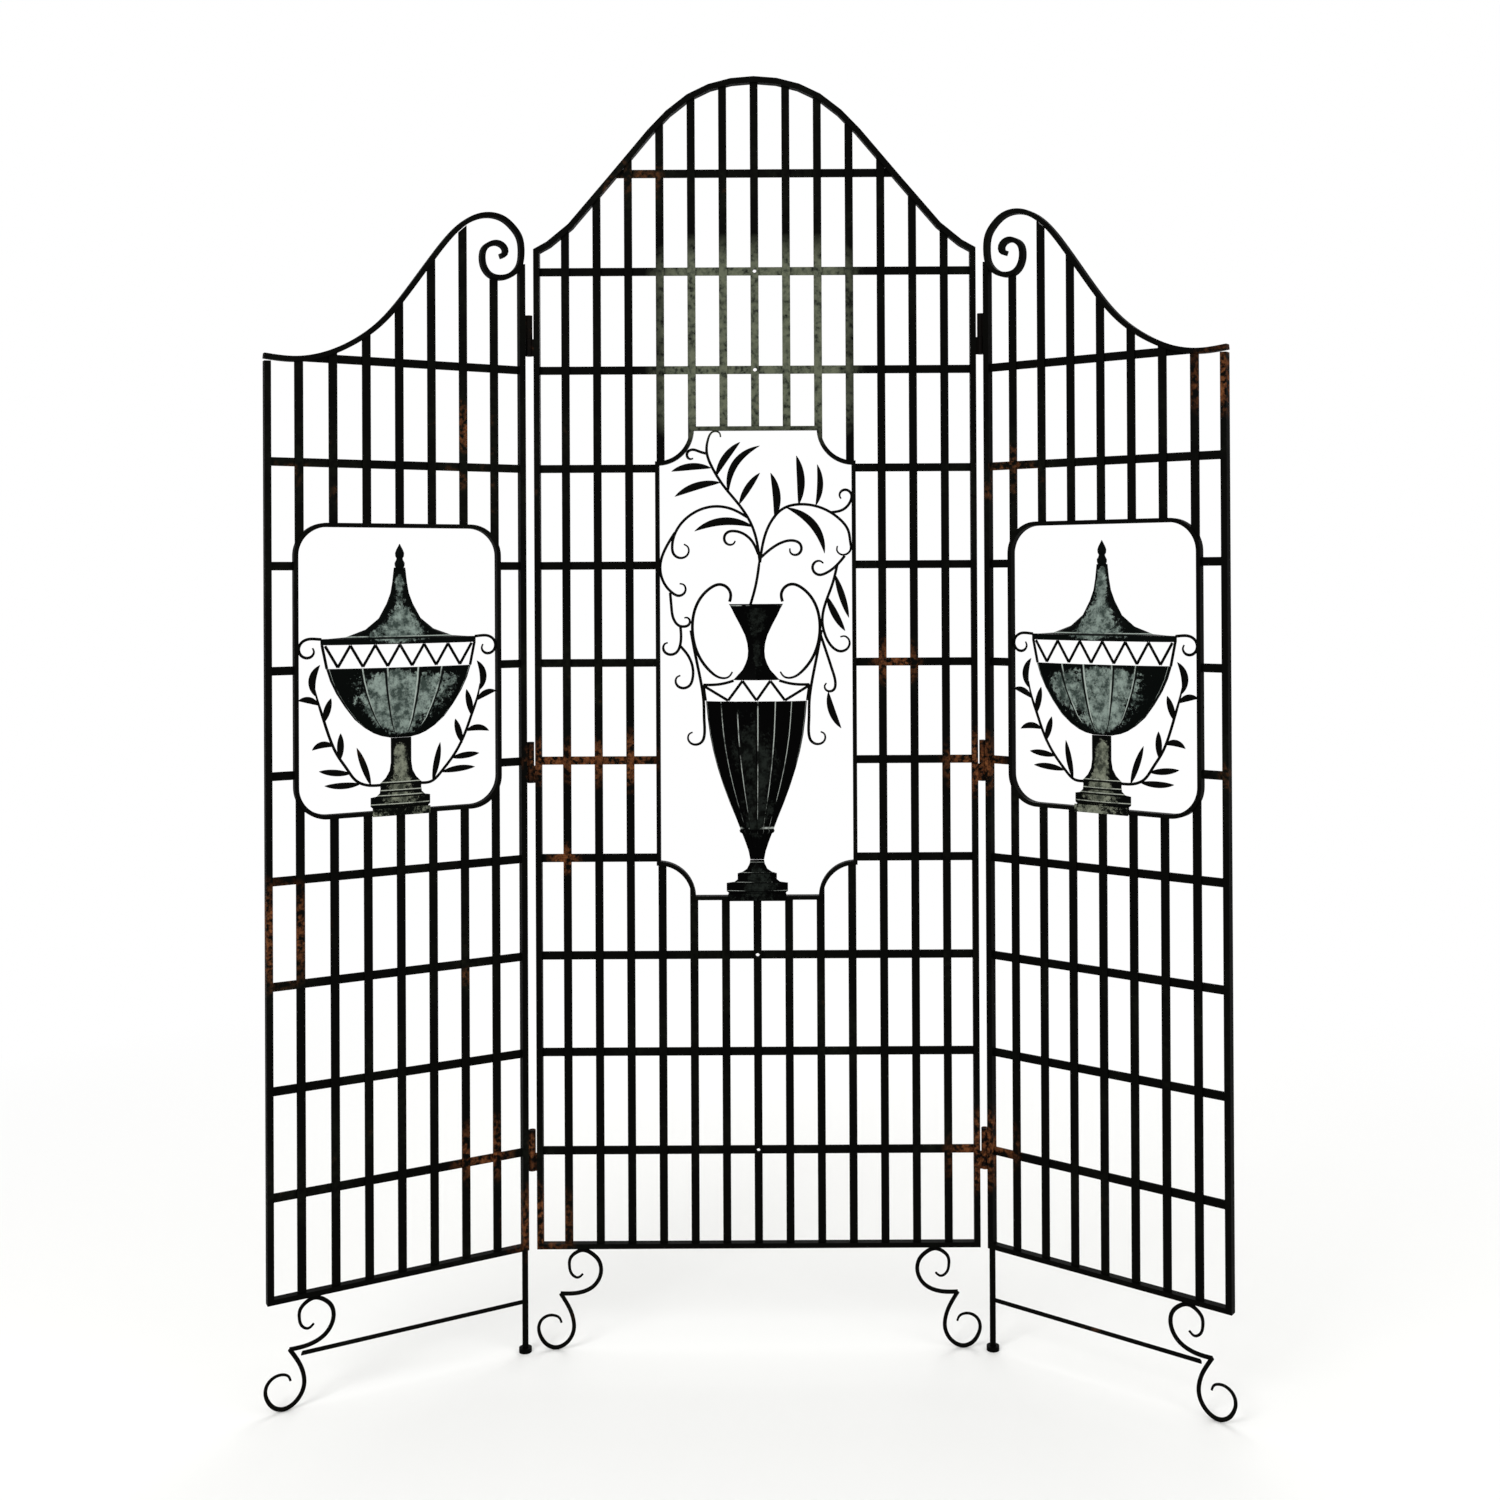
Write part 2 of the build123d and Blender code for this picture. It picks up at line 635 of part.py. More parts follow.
def bowl_profile():
    side = smooth((STEM_R, BOWL_BOTTOM), (40, 986.5), (68.5, 1008), (96, 1048),
                  (BOWL_R, BOWL_TOP))
    rest = Polyline((BOWL_R, BOWL_TOP), (0, BOWL_TOP), (0, BOWL_BOTTOM), (STEM_R, BOWL_BOTTOM))
    return outline(*side, *rest.edges())


def urn_foot_profile():
    flare = Polyline((STEM_R, 942), (17.5, 929), (23, 919), (32, 910))
    cove = Polyline((31, 903), (32, 896), (37, 891), (45.5, 889.5))
    bottom = WING_FRAME_BOTTOM + MOTIF_BAR / 2
    shaft = Polyline((0, bottom), (0, BOWL_BOTTOM), (STEM_R, BOWL_BOTTOM), (STEM_R, 942))
    step = Line((32, 910), (31, 903))
    base = Polyline((45.5, 889.5), (45.5, 876), (42.5, 873.5), (42.5, bottom), (0, bottom))
    return outline(*shaft.edges(), *flare.edges(), step, *cove.edges(), *base.edges())


def urn_lattice():
    """Zigzag wire between the lid and the bowl, closed by a wire at each side."""
    room = Pos(0, (BOWL_TOP + BRIM_Z) / 2) * Rectangle(250, BRIM_Z - BOWL_TOP)
    step = (BRIM_R - 6.5) / 3
    points = []
    for i in range(6):
        points += [((i - 3) * step, BRIM_Z - 0.5), ((i - 2.5) * step, BOWL_TOP + 0.5)]
    points.append((3 * step, BRIM_Z - 0.5))
    zigzag = Sketch()
    for a, b in zip(points, points[1:]):
        zigzag += trace(Line(a, b), WIRE)
    edge = trace(Line((BRIM_R - 0.5, BRIM_Z + 4), (BOWL_R - 2, BOWL_TOP - 4)), WIRE)
    return faces_of(zigzag, edge, mirrored(edge)) & room


def rim_scroll_line():
    """Wire that leaves the lid's brim and curls down beside it."""
    start = [(BRIM_R - 1, 1130), (BRIM_R + 9, 1131)]
    return start + curl((BRIM_R + 1 + RIM_CURL_R, 1131 - RIM_CURL_R), RIM_CURL_R, 7, 85, -210)


def inner_branch():
    """Laurel branch on the hinge side: its stem and its leaves."""
    stem = [(-28, 908), (-48, 909), (-63, 922), (-86, 951), (-103, 984), (-113, 1011)]
    stem += [(-122, 1037), (-126, 1056)]
    leaves = [((-125, 1046), (-121, 1092), 12, 4), ((-121, 1030), (-153.5, 1044), -1, -8)]
    leaves += [((-113, 1006), (-104, 1048), 4, -3.5), ((-103, 983), (-140, 982), -2, -9)]
    leaves += [((-97, 965), (-86, 1003), 3.5, -4), ((-80, 943), (-124, 948), 3, -4)]
    leaves += [((-64, 922), (-117, 927), 2, -5), ((-50, 909), (-62, 968), 4, -3)]
    return stem, leaves


def outer_branch():
    """Laurel branch on the free side: its stem and its leaves."""
    stem = [(28, 908), (50, 909), (66, 916), (80, 934), (95, 957), (107, 985), (118, 1020)]
    stem += [(124, 1040), (128, 1056)]
    leaves = [((127, 1046), (120, 1092), -12, -4), ((122, 1032), (153.5, 1040), 1, 8)]
    leaves += [((115, 1006), (104, 1042), -4, 3.5), ((100, 970), (132, 966), 2, 9)]
    leaves += [((91, 949), (90, 989), -3.5, 4), ((75, 928), (122, 934), -4, 3)]
    leaves += [((60, 912), (114, 912), -5, 2), ((45, 908), (66, 966), -3, 4)]
    return stem, leaves


def urn():
    lid, bowl, foot = lid_profile(), bowl_profile(), urn_foot_profile()
    levels = [(1133, 74), (1143, 51), (1160, 31), (1182, 19), (1198, 13), (1236, 8)]
    brim = dome([(BRIM_Z, BRIM_R - 1), (BRIM_Z + LID_BRIM, BRIM_R - 1)], 0.14, PLAIN)
    cover = raised(lid, levels, 0.22) + brim + finial()
    levels = [(BOWL_TOP - 1, 109.5), (1066, 103), (1048, 94.5), (1025, 80), (1008, 66)]
    levels += [(994, 50), (985, 34)]
    shell = raised(bowl, levels, 0.16, BOWL_LOBES)
    base = bowed(foot, 6, 260)
    inside = moved(wing_fill(-MOTIF_BAR / 2), -WING_AXIS)
    taken = faces_of(both_sides(lid), both_sides(bowl), both_sides(foot), urn_lattice())
    rim = largest(stroke(rim_scroll_line()) - around(inside) - taken)
    nodes = {"urn_lid": [cover], "urn_bowl": [shell], "urn_foot": [base]}
    nodes["urn_lattice_band"] = [wire(urn_lattice())]
    nodes["urn_rim_scrolls"] = [wire(rim), wire(mirrored(rim))]
    branches = []
    for stem, leaves in (inner_branch(), outer_branch()):
        spray = faces_of(stroke(stem), *[leaf(*values) for values in leaves])
        spray = spray - around(inside) - taken
        branches.append(wire(largest(spray)))
    nodes["laurel_branches"] = branches
    return {name: [Pos(WING_AXIS, 0, 0) * piece for piece in pieces]
            for name, pieces in nodes.items()}


def wings():
    nodes = wing_frame()
    nodes.update(wing_feet())
    nodes.update(urn())
    for name, pieces in nodes.items():
        shape = Compound(solids_of(pieces))
        right = Pos(HINGE_X, 0, 0) * Rot(0, 0, -RIGHT_ANGLE) * shape
        flipped = mirror(shape, about=Plane.YZ)
        left = Pos(-HINGE_X, 0, 0) * Rot(0, 0, LEFT_ANGLE) * flipped
        save(f"right_{name}", right)
        save(f"left_{name}", left)


centre_frame()
bouquet(vase())
pintles()
wings()
write_nodes()
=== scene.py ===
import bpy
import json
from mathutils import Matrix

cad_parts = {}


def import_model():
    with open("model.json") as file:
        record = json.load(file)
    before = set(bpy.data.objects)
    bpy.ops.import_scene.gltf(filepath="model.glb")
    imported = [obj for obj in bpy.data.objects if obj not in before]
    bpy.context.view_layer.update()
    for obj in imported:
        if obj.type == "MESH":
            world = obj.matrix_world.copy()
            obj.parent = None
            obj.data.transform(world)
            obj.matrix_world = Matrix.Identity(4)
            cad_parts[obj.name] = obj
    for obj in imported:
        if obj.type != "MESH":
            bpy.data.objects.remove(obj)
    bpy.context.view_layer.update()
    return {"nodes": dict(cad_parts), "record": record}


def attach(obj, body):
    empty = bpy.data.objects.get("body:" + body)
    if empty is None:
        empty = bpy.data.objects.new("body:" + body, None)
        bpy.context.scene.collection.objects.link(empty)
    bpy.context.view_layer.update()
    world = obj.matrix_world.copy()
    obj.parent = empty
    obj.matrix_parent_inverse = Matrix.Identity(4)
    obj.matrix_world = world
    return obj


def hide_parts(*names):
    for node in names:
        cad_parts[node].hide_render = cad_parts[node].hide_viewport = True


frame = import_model()

import json
import math

import bmesh
import bpy
import numpy as np

bl_info = {
    "name": "Wrought iron folding screen",
    "version": (1, 0, 0),
    "blender": (4, 5, 0),
    "location": "View3D > Sidebar > Screen",
    "description": "Finishes a three-leaf wrought iron folding screen around its CAD frame",
    "category": "Add Mesh",
}

# Places and sizes are in millimetres in the flat drawing of each leaf and become metres in
# world(). The centre leaf is drawn about its middle line, a wing from its hinge axis.
MM = 0.001
HINGES = {joint["name"]: joint["pos_m"] for joint in frame["record"]["behaviour"]["joints"]}
LEFT_AXIS = np.array(HINGES["left_wing_hinge"])
RIGHT_AXIS = np.array(HINGES["right_wing_hinge"])
CENTRE = (LEFT_AXIS + RIGHT_AXIS) / 2
WING_ANGLE = {"left": 29.4, "right": 36.8}
WING_AXIS = 208.5

# Wire and plate. The wire is as deep as in the solids and is drawn wider across its face.
# WIRE_FACE is the default of the width that a user may change.
WIRE = 3.0
WIRE_FACE = 4.4
HANDLE_WIRE = 4.8
SCROLL_WIRE = 4.6
SHEET = 2.0
BACK = 1.5
ROD = 6.4
DEPTH = 12.7

# How much fuller a leaf is drawn than in the solids, its least half width at its ends, and the
# most that it is thick, as a half
BLADE_FULL = 1.4
BLADE_END = 0.35
BLADE_THICK = 1.1

# Angle in degrees past which an edge stays sharp
SHARP_ANGLE = 40

# Urn and vase outlines from the top down, as (height, half width)
URN_LID = [(1237, 8.6), (1215, 11), (1198, 14), (1182, 20), (1160, 32), (1143.5, 52),
           (1132.5, 82), (1130.6, 108), (1130.5, 119), (1121.5, 119)]
FINIAL = [(1235, 5.5), (1240, 7.4), (1244, 7.6), (1248, 5.4), (1251, 4.6), (1254, 6.4),
          (1259, 6.8), (1264, 5), (1269, 2.4), (1273, 0.5)]
URN_BOWL = [(1086, 111), (1067, 105), (1048, 96), (1028, 83.5), (1008, 68.5), (995, 53.5),
            (986.5, 40), (982, 29), (979, 15.5)]
URN_FOOT = [(979, 15.5), (942, 15.5), (929, 17.5), (919, 23), (910, 32), (903, 31), (896, 32),
            (891, 37), (889.5, 45.5), (876, 45.5), (873.5, 42.5), (869.2, 42.5)]
VASE_NECK = [(1177.5, 43), (1170, 38.7), (1160, 34), (1145, 26), (1128, 17.8), (1115, 14.2),
             (1103, 13), (1092, 14), (1083, 17), (1073, 22), (1061, 33), (1057, 37)]
VASE_BODY = [(1024, 80), (997, 77.5), (970, 74), (944, 68.7), (918, 62), (890, 53), (863, 43),
             (838, 32.8), (821, 26.3), (819, 27.8),
             (816, 27), (814, 23.6), (800, 18.2), (786, 13.5), (773, 11)]
VASE_FOOT = [(773, 11), (767, 12), (759, 16), (754, 23), (751.5, 31), (742, 31), (738, 36),
             (736, 48.5), (723, 48.5), (721, 45.5), (716.2, 45.5)]

# The feet are bowed plates, as (depth, radius of the bow). Their plinths have a lip in front,
# as (half width, foot of the plate, bottom of the lip).
FOOT_BOW = (5.6, 260)
URN_PLINTH = (44, 869.2, 861.5)
VASE_PLINTH = (46, 716.2, 708.5)
LIP_BACK = -6.4
LIP_FRONT = -8.0
LIP_LAP = 4

# Spots on the relief map, from 0 to 1 both ways, whose finish the lip and the finial take
LIP_SPOT = 0.3
# The finial's spot lies near the map's side and top edges, so the painted side shade and the
# darker top edge make it dark.
FINIAL_SPOT = 0.97

# Raised seams, as angles round the relief
BOWL_SEAMS = (-78, -35, -14, 14, 35, 78)
BODY_SEAMS = (-80, -46, -24, 0, 24, 46, 80)
LID_SEAMS = (-62, 0, 62)
NECK_SEAMS = (-50, 0, 50)

# A relief sinks between its seams by this share of how far it stands out. A seam spreads by an
# angle in degrees, and is lower where the sheet's half width is less than the full one.
FLUTE_SINK = 0.10
SEAM_SPREAD = 1.8
SEAM_FULL_HALF = 25
SEAM_LEAST = 0.3

# Bouquet
TRUNK = [(-9, 1176), (-2, 1200), (3, 1225), (6.5, 1253)]


def curl(centre, start_radius, end_radius, start, end):
    """Points of a spiral whose radius changes evenly with its angle, about every 45 degrees."""
    steps = max(2, round(abs(end - start) / 45))
    share = np.linspace(0, 1, steps + 1)
    radius = start_radius + (end_radius - start_radius) * share
    angle = np.radians(start + (end - start) * share)
    x = centre[0] + radius * np.cos(angle)
    z = centre[1] + radius * np.sin(angle)
    return [tuple(point) for point in np.stack([x, z], axis=1)]


BOUQUET_LINES = [
    TRUNK,
    [(6, 1246), (2, 1275), (-8, 1306), (-28, 1337), (-50, 1364), (-68, 1393), (-77, 1418),
     (-75, 1438), (-66, 1451), (-57, 1449), (-55, 1442)],
    [(-77, 1416), (-88, 1419)] + curl((-101, 1413), 9.5, 5, 80, 300),
    [(-12, 1314), (-38, 1328), (-68, 1332), (-100, 1321), (-124, 1297)]
    + curl((-117, 1264), 16, 9, 165, 430),
    [(-128, 1291), (-142, 1268), (-151.5, 1238), (-146, 1212)]
    + curl((-121, 1203), 13.5, 7, 215, 450),
    [(-136, 1196), (-134, 1172), (-131, 1155), (-121, 1143)]
    + curl((-112, 1151), 9, 5, 260, 470),
    [(-120, 1143), (-119, 1127)] + curl((-138, 1111), 17, 6, 0, -250),
    [(-121, 1112), (-108, 1096), (-101, 1078)] + curl((-118, 1058), 17, 7, 5, -250),
    [(4, 1256), (-6, 1277), (-20, 1289)] + curl((-39, 1280), 13.5, 7, 75, 340),
    [(6.5, 1243), (13, 1280), (24, 1307), (45, 1329), (72, 1335), (102, 1330), (130, 1314),
     (147, 1292)] + curl((137, 1266), 15, 8, 30, -200),
    [(120, 1322), (138, 1326)] + curl((141, 1348), 12, 7, -30, 220),
    [(141, 1253), (127, 1237)] + curl((101, 1236), 14, 8, -50, -320),
    [(129, 1239), (121, 1208), (110, 1178), (105, 1148), (110, 1126)]
    + curl((136, 1117), 17, 8, 215, 470),
    [(102, 1128), (112, 1098), (121, 1070)] + curl((115, 1047), 10.5, 6, 15, -230),
    [(7, 1250), (22, 1263), (40, 1274)] + curl((61, 1264), 13.5, 7, 95, -190),
]
BOUQUET_LEAVES = [
    ((-63, 1379), (-24, 1434), 9, 1), ((-43, 1352), (7, 1428), 21, 13),
    ((-26, 1335), (7, 1385), 6.5, -1), ((-70, 1393), (-133, 1388), -1, -9),
    ((-55, 1370), (-128, 1348), -1.5, -10), ((-3, 1299), (-97, 1293), -8, -17),
    ((30, 1312), (24, 1385), -2, -11), ((68, 1334), (65, 1412), -1, -10),
    ((95, 1332), (98, 1398), -2.5, -9.5), ((48, 1330), (109, 1257), 20, 11),
    ((125, 1224), (147, 1155), 4, -3.5), ((112, 1190), (141, 1134), 2, -6),
    ((114, 1038), (134, 980), -1, -9),
]
HANDLE = [(42, 1181), (40, 1192), (46, 1204), (58, 1208.5), (72, 1203), (88, 1187), (98, 1165),
          (101, 1142), (98, 1115), (88, 1090), (73, 1071), (56, 1060.5), (44, 1062), (38, 1070)]
SIDE_SCROLL = [(103.5, 1136), (98, 1105), (91, 1070), (86.5, 1046), (83.5, 1020),
               (83, 995)] + curl((99, 968), 16.5, 7, 170, 430)
SHOULDER = [(36, 1056), (52, 1051.5), (70, 1049.5), (84, 1049.5)]
VASE_ZIGZAG = [(0, 1024.5), (22, 1055.5), (45, 1024.5), (82, 1047)]
VASE_BAND_EDGE = [(80.5, 1024.5), (84, 1050)]

# Urn trim, about the urn's own middle line
URN_ZIGZAG_STEP = 37.5
URN_ZIGZAG_TOP = 1120.0
URN_ZIGZAG_BOTTOM = 1087.5
URN_BAND_EDGE = [(117.2, 1121.5), (110, 1086)]
RIM_SCROLL = [(118, 1130), (128, 1131)] + curl((137, 1114), 16.6, 7, 85, -210)
INNER_STEM = [(-28, 908), (-48, 909), (-63, 922), (-86, 951), (-103, 984), (-113, 1011),
              (-122, 1037), (-126, 1056)]
INNER_LEAVES = [
    ((-125, 1046), (-121, 1092), 12, 4), ((-121, 1030), (-152, 1044), -1, -8),
    ((-113, 1006), (-104, 1048), 4, -3.5), ((-103, 983), (-140, 982), -2, -9),
    ((-97, 965), (-86, 1003), 3.5, -4), ((-80, 943), (-124, 948), 3, -4),
    ((-64, 922), (-117, 927), 2, -5), ((-50, 909), (-62, 968), 4, -3),
]
OUTER_STEM = [(28, 908), (50, 909), (66, 916), (80, 934), (95, 957), (107, 985), (118, 1020),
              (124, 1040), (128, 1056)]
OUTER_LEAVES = [
    ((127, 1046), (120, 1092), -12, -4), ((122, 1032), (152, 1040), 1, 8),
    ((115, 1006), (104, 1042), -4, 3.5), ((100, 970), (132, 966), 2, 9),
    ((91, 949), (90, 989), -3.5, 4), ((75, 928), (122, 934), -4, 3),
    ((60, 912), (114, 912), -5, 2), ((45, 908), (66, 966), -3, 4),
]

# Scroll foot, outwards from its tip, and the bars that sweep over the leaves
FOOT_UPPER = [(0, 88.5), (-21, 88.5), (-38, 92), (-51, 99), (-60, 110), (-64, 125), (-61, 139),
              (-50, 151), (-36, 156.8), (-23, 152), (-15.5, 144), (-14, 131), (-18.5, 118),
              (-27, 113.5), (-35, 119)]
FOOT_LOWER = [(0, 88.5), (-9, 74), (-16, 60), (-20, 46), (-20.5, 32), (-15.5, 18.5), (-5.5, 8),
              (8, 3.3), (22, 8), (31.5, 20), (35, 33.5), (31, 46), (21.5, 53), (11, 54),
              (2, 49.5), (-1, 42.5)]
FOOT_THINNED = 0.45
FOOT_THINS_FROM = 0.62
CENTRE_TIP = 314.0
WING_TIP = 376.0
SWEPT_BAR = [(408.5, 1547.3), (365, 1545), (324, 1553), (283, 1572), (241, 1603), (195, 1658),
             (151, 1720), (127, 1751), (100, 1776), (64, 1789), (42, 1785), (26, 1773),
             (16, 1759), (12.75, 1744), (12.75, 1730), (16, 1714), (24, 1703), (34, 1696),
             (50, 1692), (64, 1695), (73, 1705), (76.5, 1722), (73, 1736), (63, 1744),
             (53, 1746.5), (44, 1743.5), (39, 1736), (41, 1729), (47, 1726)]
SWEPT_WIDTH = 8.0


# Placing
def world(leaf, points):
    """Points (x, y, z) of a leaf's flat drawing, set in place: the centre leaf is only moved,
    and a wing is mirrored for the left side, then turned about its hinge axis."""
    points = np.asarray(points, float) * MM
    if leaf == "centre":
        return points + CENTRE
    side = -1 if leaf == "left" else 1
    turn = math.radians(WING_ANGLE[leaf])
    along, deep, height = points.T
    x = side * (along * math.cos(turn) + deep * math.sin(turn))
    y = -along * math.sin(turn) + deep * math.cos(turn)
    axis = LEFT_AXIS if leaf == "left" else RIGHT_AXIS
    return np.stack([axis[0] + x, axis[1] + y, axis[2] + height], axis=1)


def body_of_leaf(leaf):
    """Name of the moving body that a leaf belongs to."""
    return "centre_leaf" if leaf == "centre" else f"{leaf}_wing"


# Curves
def smooth(points, spacing=2.5):
    """Natural cubic spline through points, its length measured along the chords: the second
    derivatives solve the usual tridiagonal system, and each span is Hermite's cubic."""
    points = np.asarray(points, float)
    knots = np.concatenate([[0], np.cumsum(np.linalg.norm(np.diff(points, axis=0), axis=1))])
    gap = np.diff(knots)
    count = len(points)
    system = np.eye(count)
    right = np.zeros_like(points)
    inner = np.arange(1, count - 1)
    system[inner, inner - 1] = gap[:-1]
    system[inner, inner] = 2 * (gap[:-1] + gap[1:])
    system[inner, inner + 1] = gap[1:]
    slope = np.diff(points, axis=0) / gap[:, None]
    right[1:-1] = 6 * np.diff(slope, axis=0)
    bend = np.linalg.solve(system, right)
    place = np.linspace(0, knots[-1], max(8, int(knots[-1] / spacing)) + 1)
    span = np.clip(np.searchsorted(knots, place, side="right") - 1, 0, count - 2)
    after = (place - knots[span])[:, None]
    width = gap[span][:, None]
    before = width - after
    curve = bend[span] * before**3 + bend[span + 1] * after**3
    curve = curve / (6 * width)
    curve += (points[span] / width - bend[span] * width / 6) * before
    curve += (points[span + 1] / width - bend[span + 1] * width / 6) * after
    return curve


def oval(across, deep, sides=12):
    """Ellipse of half sizes across and deep, as (offset in the leaf, offset through it)."""
    angle = np.arange(sides) * 2 * math.pi / sides
    return np.stack([across * np.cos(angle), deep * np.sin(angle)], axis=1)


def soft_bar(across, deep, corner=0.9):
    """Rectangle with chamfered corners, as half sizes across and deep."""
    x, y = across / 2, deep / 2
    return np.array([(x, -y + corner), (x, y - corner), (x - corner, y), (-x + corner, y),
                     (-x, y - corner), (-x, -y + corner), (-x + corner, -y), (x - corner, -y)])


def carried(path, section, across=None, deep=None):
    """A section carried along a path in the leaf's plane. Each ring is the path's point plus
    the section's first value along the normal and its second through the leaf, scaled by
    across and deep at that place. Returns vertices (x, y, z) and faces with closed ends."""
    path = np.asarray(path, float)
    ahead = np.gradient(path, axis=0)
    ahead /= np.linalg.norm(ahead, axis=1)[:, None]
    normal = np.stack([-ahead[:, 1], ahead[:, 0]], axis=1)
    count, sides = len(path), len(section)
    across = np.ones(count) if across is None else np.asarray(across)
    deep = np.ones(count) if deep is None else np.asarray(deep)
    offset = across[:, None] * section[None, :, 0]
    x = path[:, 0, None] + normal[:, 0, None] * offset
    z = path[:, 1, None] + normal[:, 1, None] * offset
    y = deep[:, None] * section[None, :, 1]
    vertices = np.stack([x, y, z], axis=2).reshape(-1, 3)
    faces = ring_faces(count, sides)
    faces += [list(range(sides))[::-1], list(range((count - 1) * sides, count * sides))]
    return vertices, faces


def ring_faces(count, sides):
    """Quads between rings of vertices, each joined to the next one and round to its start."""
    row = np.arange(count - 1)[:, None] * sides
    here = np.arange(sides)[None, :]
    after = (here + 1) % sides
    quads = np.stack([row + here, row + after, row + sides + after, row + sides + here], axis=2)
    return quads.reshape(-1, 4).tolist()


def wire_width():
    """Width of the thin wire across its face, in millimetres, as the user has set it."""
    return finish().wire_width / MM


def straight_wire(a, b):
    """Straight piece of the thin wire from a to b, at its full width."""
    return carried([a, b], oval(wire_width() / 2, WIRE / 2))


def wire(points, width=None, taper=0.55):
    """Oval wire along a smooth curve, drawn out thinner over its last fifth. It is the thin
    wire where no width is given."""
    path = smooth(points)
    width = width or wire_width()
    share = np.linspace(0, 1, len(path))
    scale = 1 - (1 - taper) * np.clip((share - 0.8) / 0.2, 0, 1)
    return carried(path, oval(width / 2, WIRE / 2), scale, scale)


def blade(base, tip, left, right):
    """Leaf: its middle line bows from its chord by 4u(1-u) times the mean of the two given
    heights. Its half width is that curve to the power 0.8, times half their difference and
    BLADE_FULL."""
    base, tip = np.asarray(base, float), np.asarray(tip, float)
    chord = tip - base
    side = np.array([-chord[1], chord[0]]) / np.linalg.norm(chord)
    share = np.linspace(0, 1, 22)
    swell = 4 * share * (1 - share)
    path = base + chord * share[:, None] + side * ((left + right) / 2 * swell)[:, None]
    half = np.maximum(abs(left - right) / 2 * BLADE_FULL * swell**0.8, BLADE_END)
    rib = np.array([(1, 0), (0.45, 0.85), (0, 0.6), (-0.45, 0.85), (-1, 0), (-0.45, -0.85),
                    (0, -1.35), (0.45, -0.85)])
    return carried(path, rib, half, np.minimum(half, BLADE_THICK))


def relief(outline, swell, seams, ridge=1.2, bow=None, steps=61):
    """Pressed sheet closed by its own wall. Across, x is the half width times the sine of an
    angle. The front stands out by swell times the half width times the cosine, sinks between
    seams by a sine arch where there are more than two, and rises on each seam by a narrow bell
    curve. It never comes so near the flat back plane that the sheet would pass it. bow =
    (depth, radius) replaces that by a plate whose front falls off as x squared over twice the
    radius. The back follows the front one sheet thickness behind."""
    heights, halves = np.array(outline, float).T
    rows = []
    for top, bottom in zip(range(len(heights) - 1), range(1, len(heights))):
        parts = max(1, int(abs(heights[top] - heights[bottom]) / 3))
        rows += [(top + i / parts) for i in range(parts)]
    rows.append(len(heights) - 1)
    level = np.interp(rows, np.arange(len(heights)), heights)
    half = np.interp(rows, np.arange(len(halves)), halves)
    angle = np.linspace(-90, 90, steps)
    turn = np.radians(angle)
    x = half[:, None] * np.sin(turn)[None, :]
    if bow is None:
        stand = swell * half[:, None] * np.cos(turn)[None, :]
        edges = np.array(sorted({-90, 90, *seams}), float)
        span = np.clip(np.searchsorted(edges, angle, side="right") - 1, 0, len(edges) - 2)
        share = (angle - edges[span]) / (edges[span + 1] - edges[span])
        sink = FLUTE_SINK * np.sin(share * math.pi) * (len(edges) > 4)
        stand = stand * (1 - sink)[None, :]
        bell = sum(np.exp(-((angle - seam) / SEAM_SPREAD) ** 2) for seam in seams)
        stand = stand + ridge * bell * np.clip(half / SEAM_FULL_HALF, SEAM_LEAST, 1)[:, None]
        front = BACK - SHEET / 2 - stand
        front = np.minimum(front, BACK - SHEET)
    else:
        depth, radius = bow
        front = -(depth - x**2 / (2 * radius))
    rear = front + SHEET
    z = np.repeat(level[:, None], steps, axis=1)
    face = np.stack([x, front, z], axis=2)
    behind = np.stack([x, rear, z], axis=2)[:, ::-1]
    ring = np.concatenate([face, behind], axis=1)
    sides = 2 * steps
    count = len(rows)
    faces = [quad[::-1] for quad in ring_faces(count, sides)]
    for start, flip in ((0, False), ((count - 1) * sides, True)):
        for i in range(steps - 1):
            cap = [start + i, start + i + 1, start + sides - 2 - i, start + sides - 1 - i]
            faces.append(cap[::-1] if flip else cap)
    across = np.concatenate([angle, angle[::-1]]) / 180 + 0.5
    tall = (level - level.min()) / (level.max() - level.min())
    uv = np.stack([np.tile(across, count), np.repeat(tall, sides)], axis=1)
    return ring.reshape(-1, 3), faces, uv


def plinth(foot, half, top, bottom):
    """A foot with the front lip of its plinth, which laps over the frame bar below it. The lip
    is a box, and takes one place on the foot's UV map."""
    lap = top + LIP_LAP
    outer = [(-half, lap), (half, lap), (half, bottom), (-half, bottom)]
    lip = np.array([(x, y, z) for y in (LIP_BACK, LIP_FRONT) for x, z in outer])
    quads = [[0, 1, 2, 3], [7, 6, 5, 4]]
    quads += [[i, (i + 1) % 4, (i + 1) % 4 + 4, i + 4] for i in range(4)]
    vertices, faces = joined([foot, (lip, quads)])
    return vertices, faces, np.concatenate([foot[2], np.full((len(lip), 2), LIP_SPOT)])


def turned(outline, sides=20):
    """Lathe form: each (height, radius) becomes a circle about the upright middle line."""
    angle = np.arange(sides) * 2 * math.pi / sides
    height, radius = np.array(outline, float).T
    x = radius[:, None] * np.cos(angle)
    y = radius[:, None] * np.sin(angle)
    z = np.repeat(height[:, None], sides, axis=1)
    faces = ring_faces(len(outline), sides)
    count = len(outline)
    faces += [list(range(sides))[::-1], list(range((count - 1) * sides, count * sides))]
    return np.stack([x, y, z], axis=2).reshape(-1, 3), faces


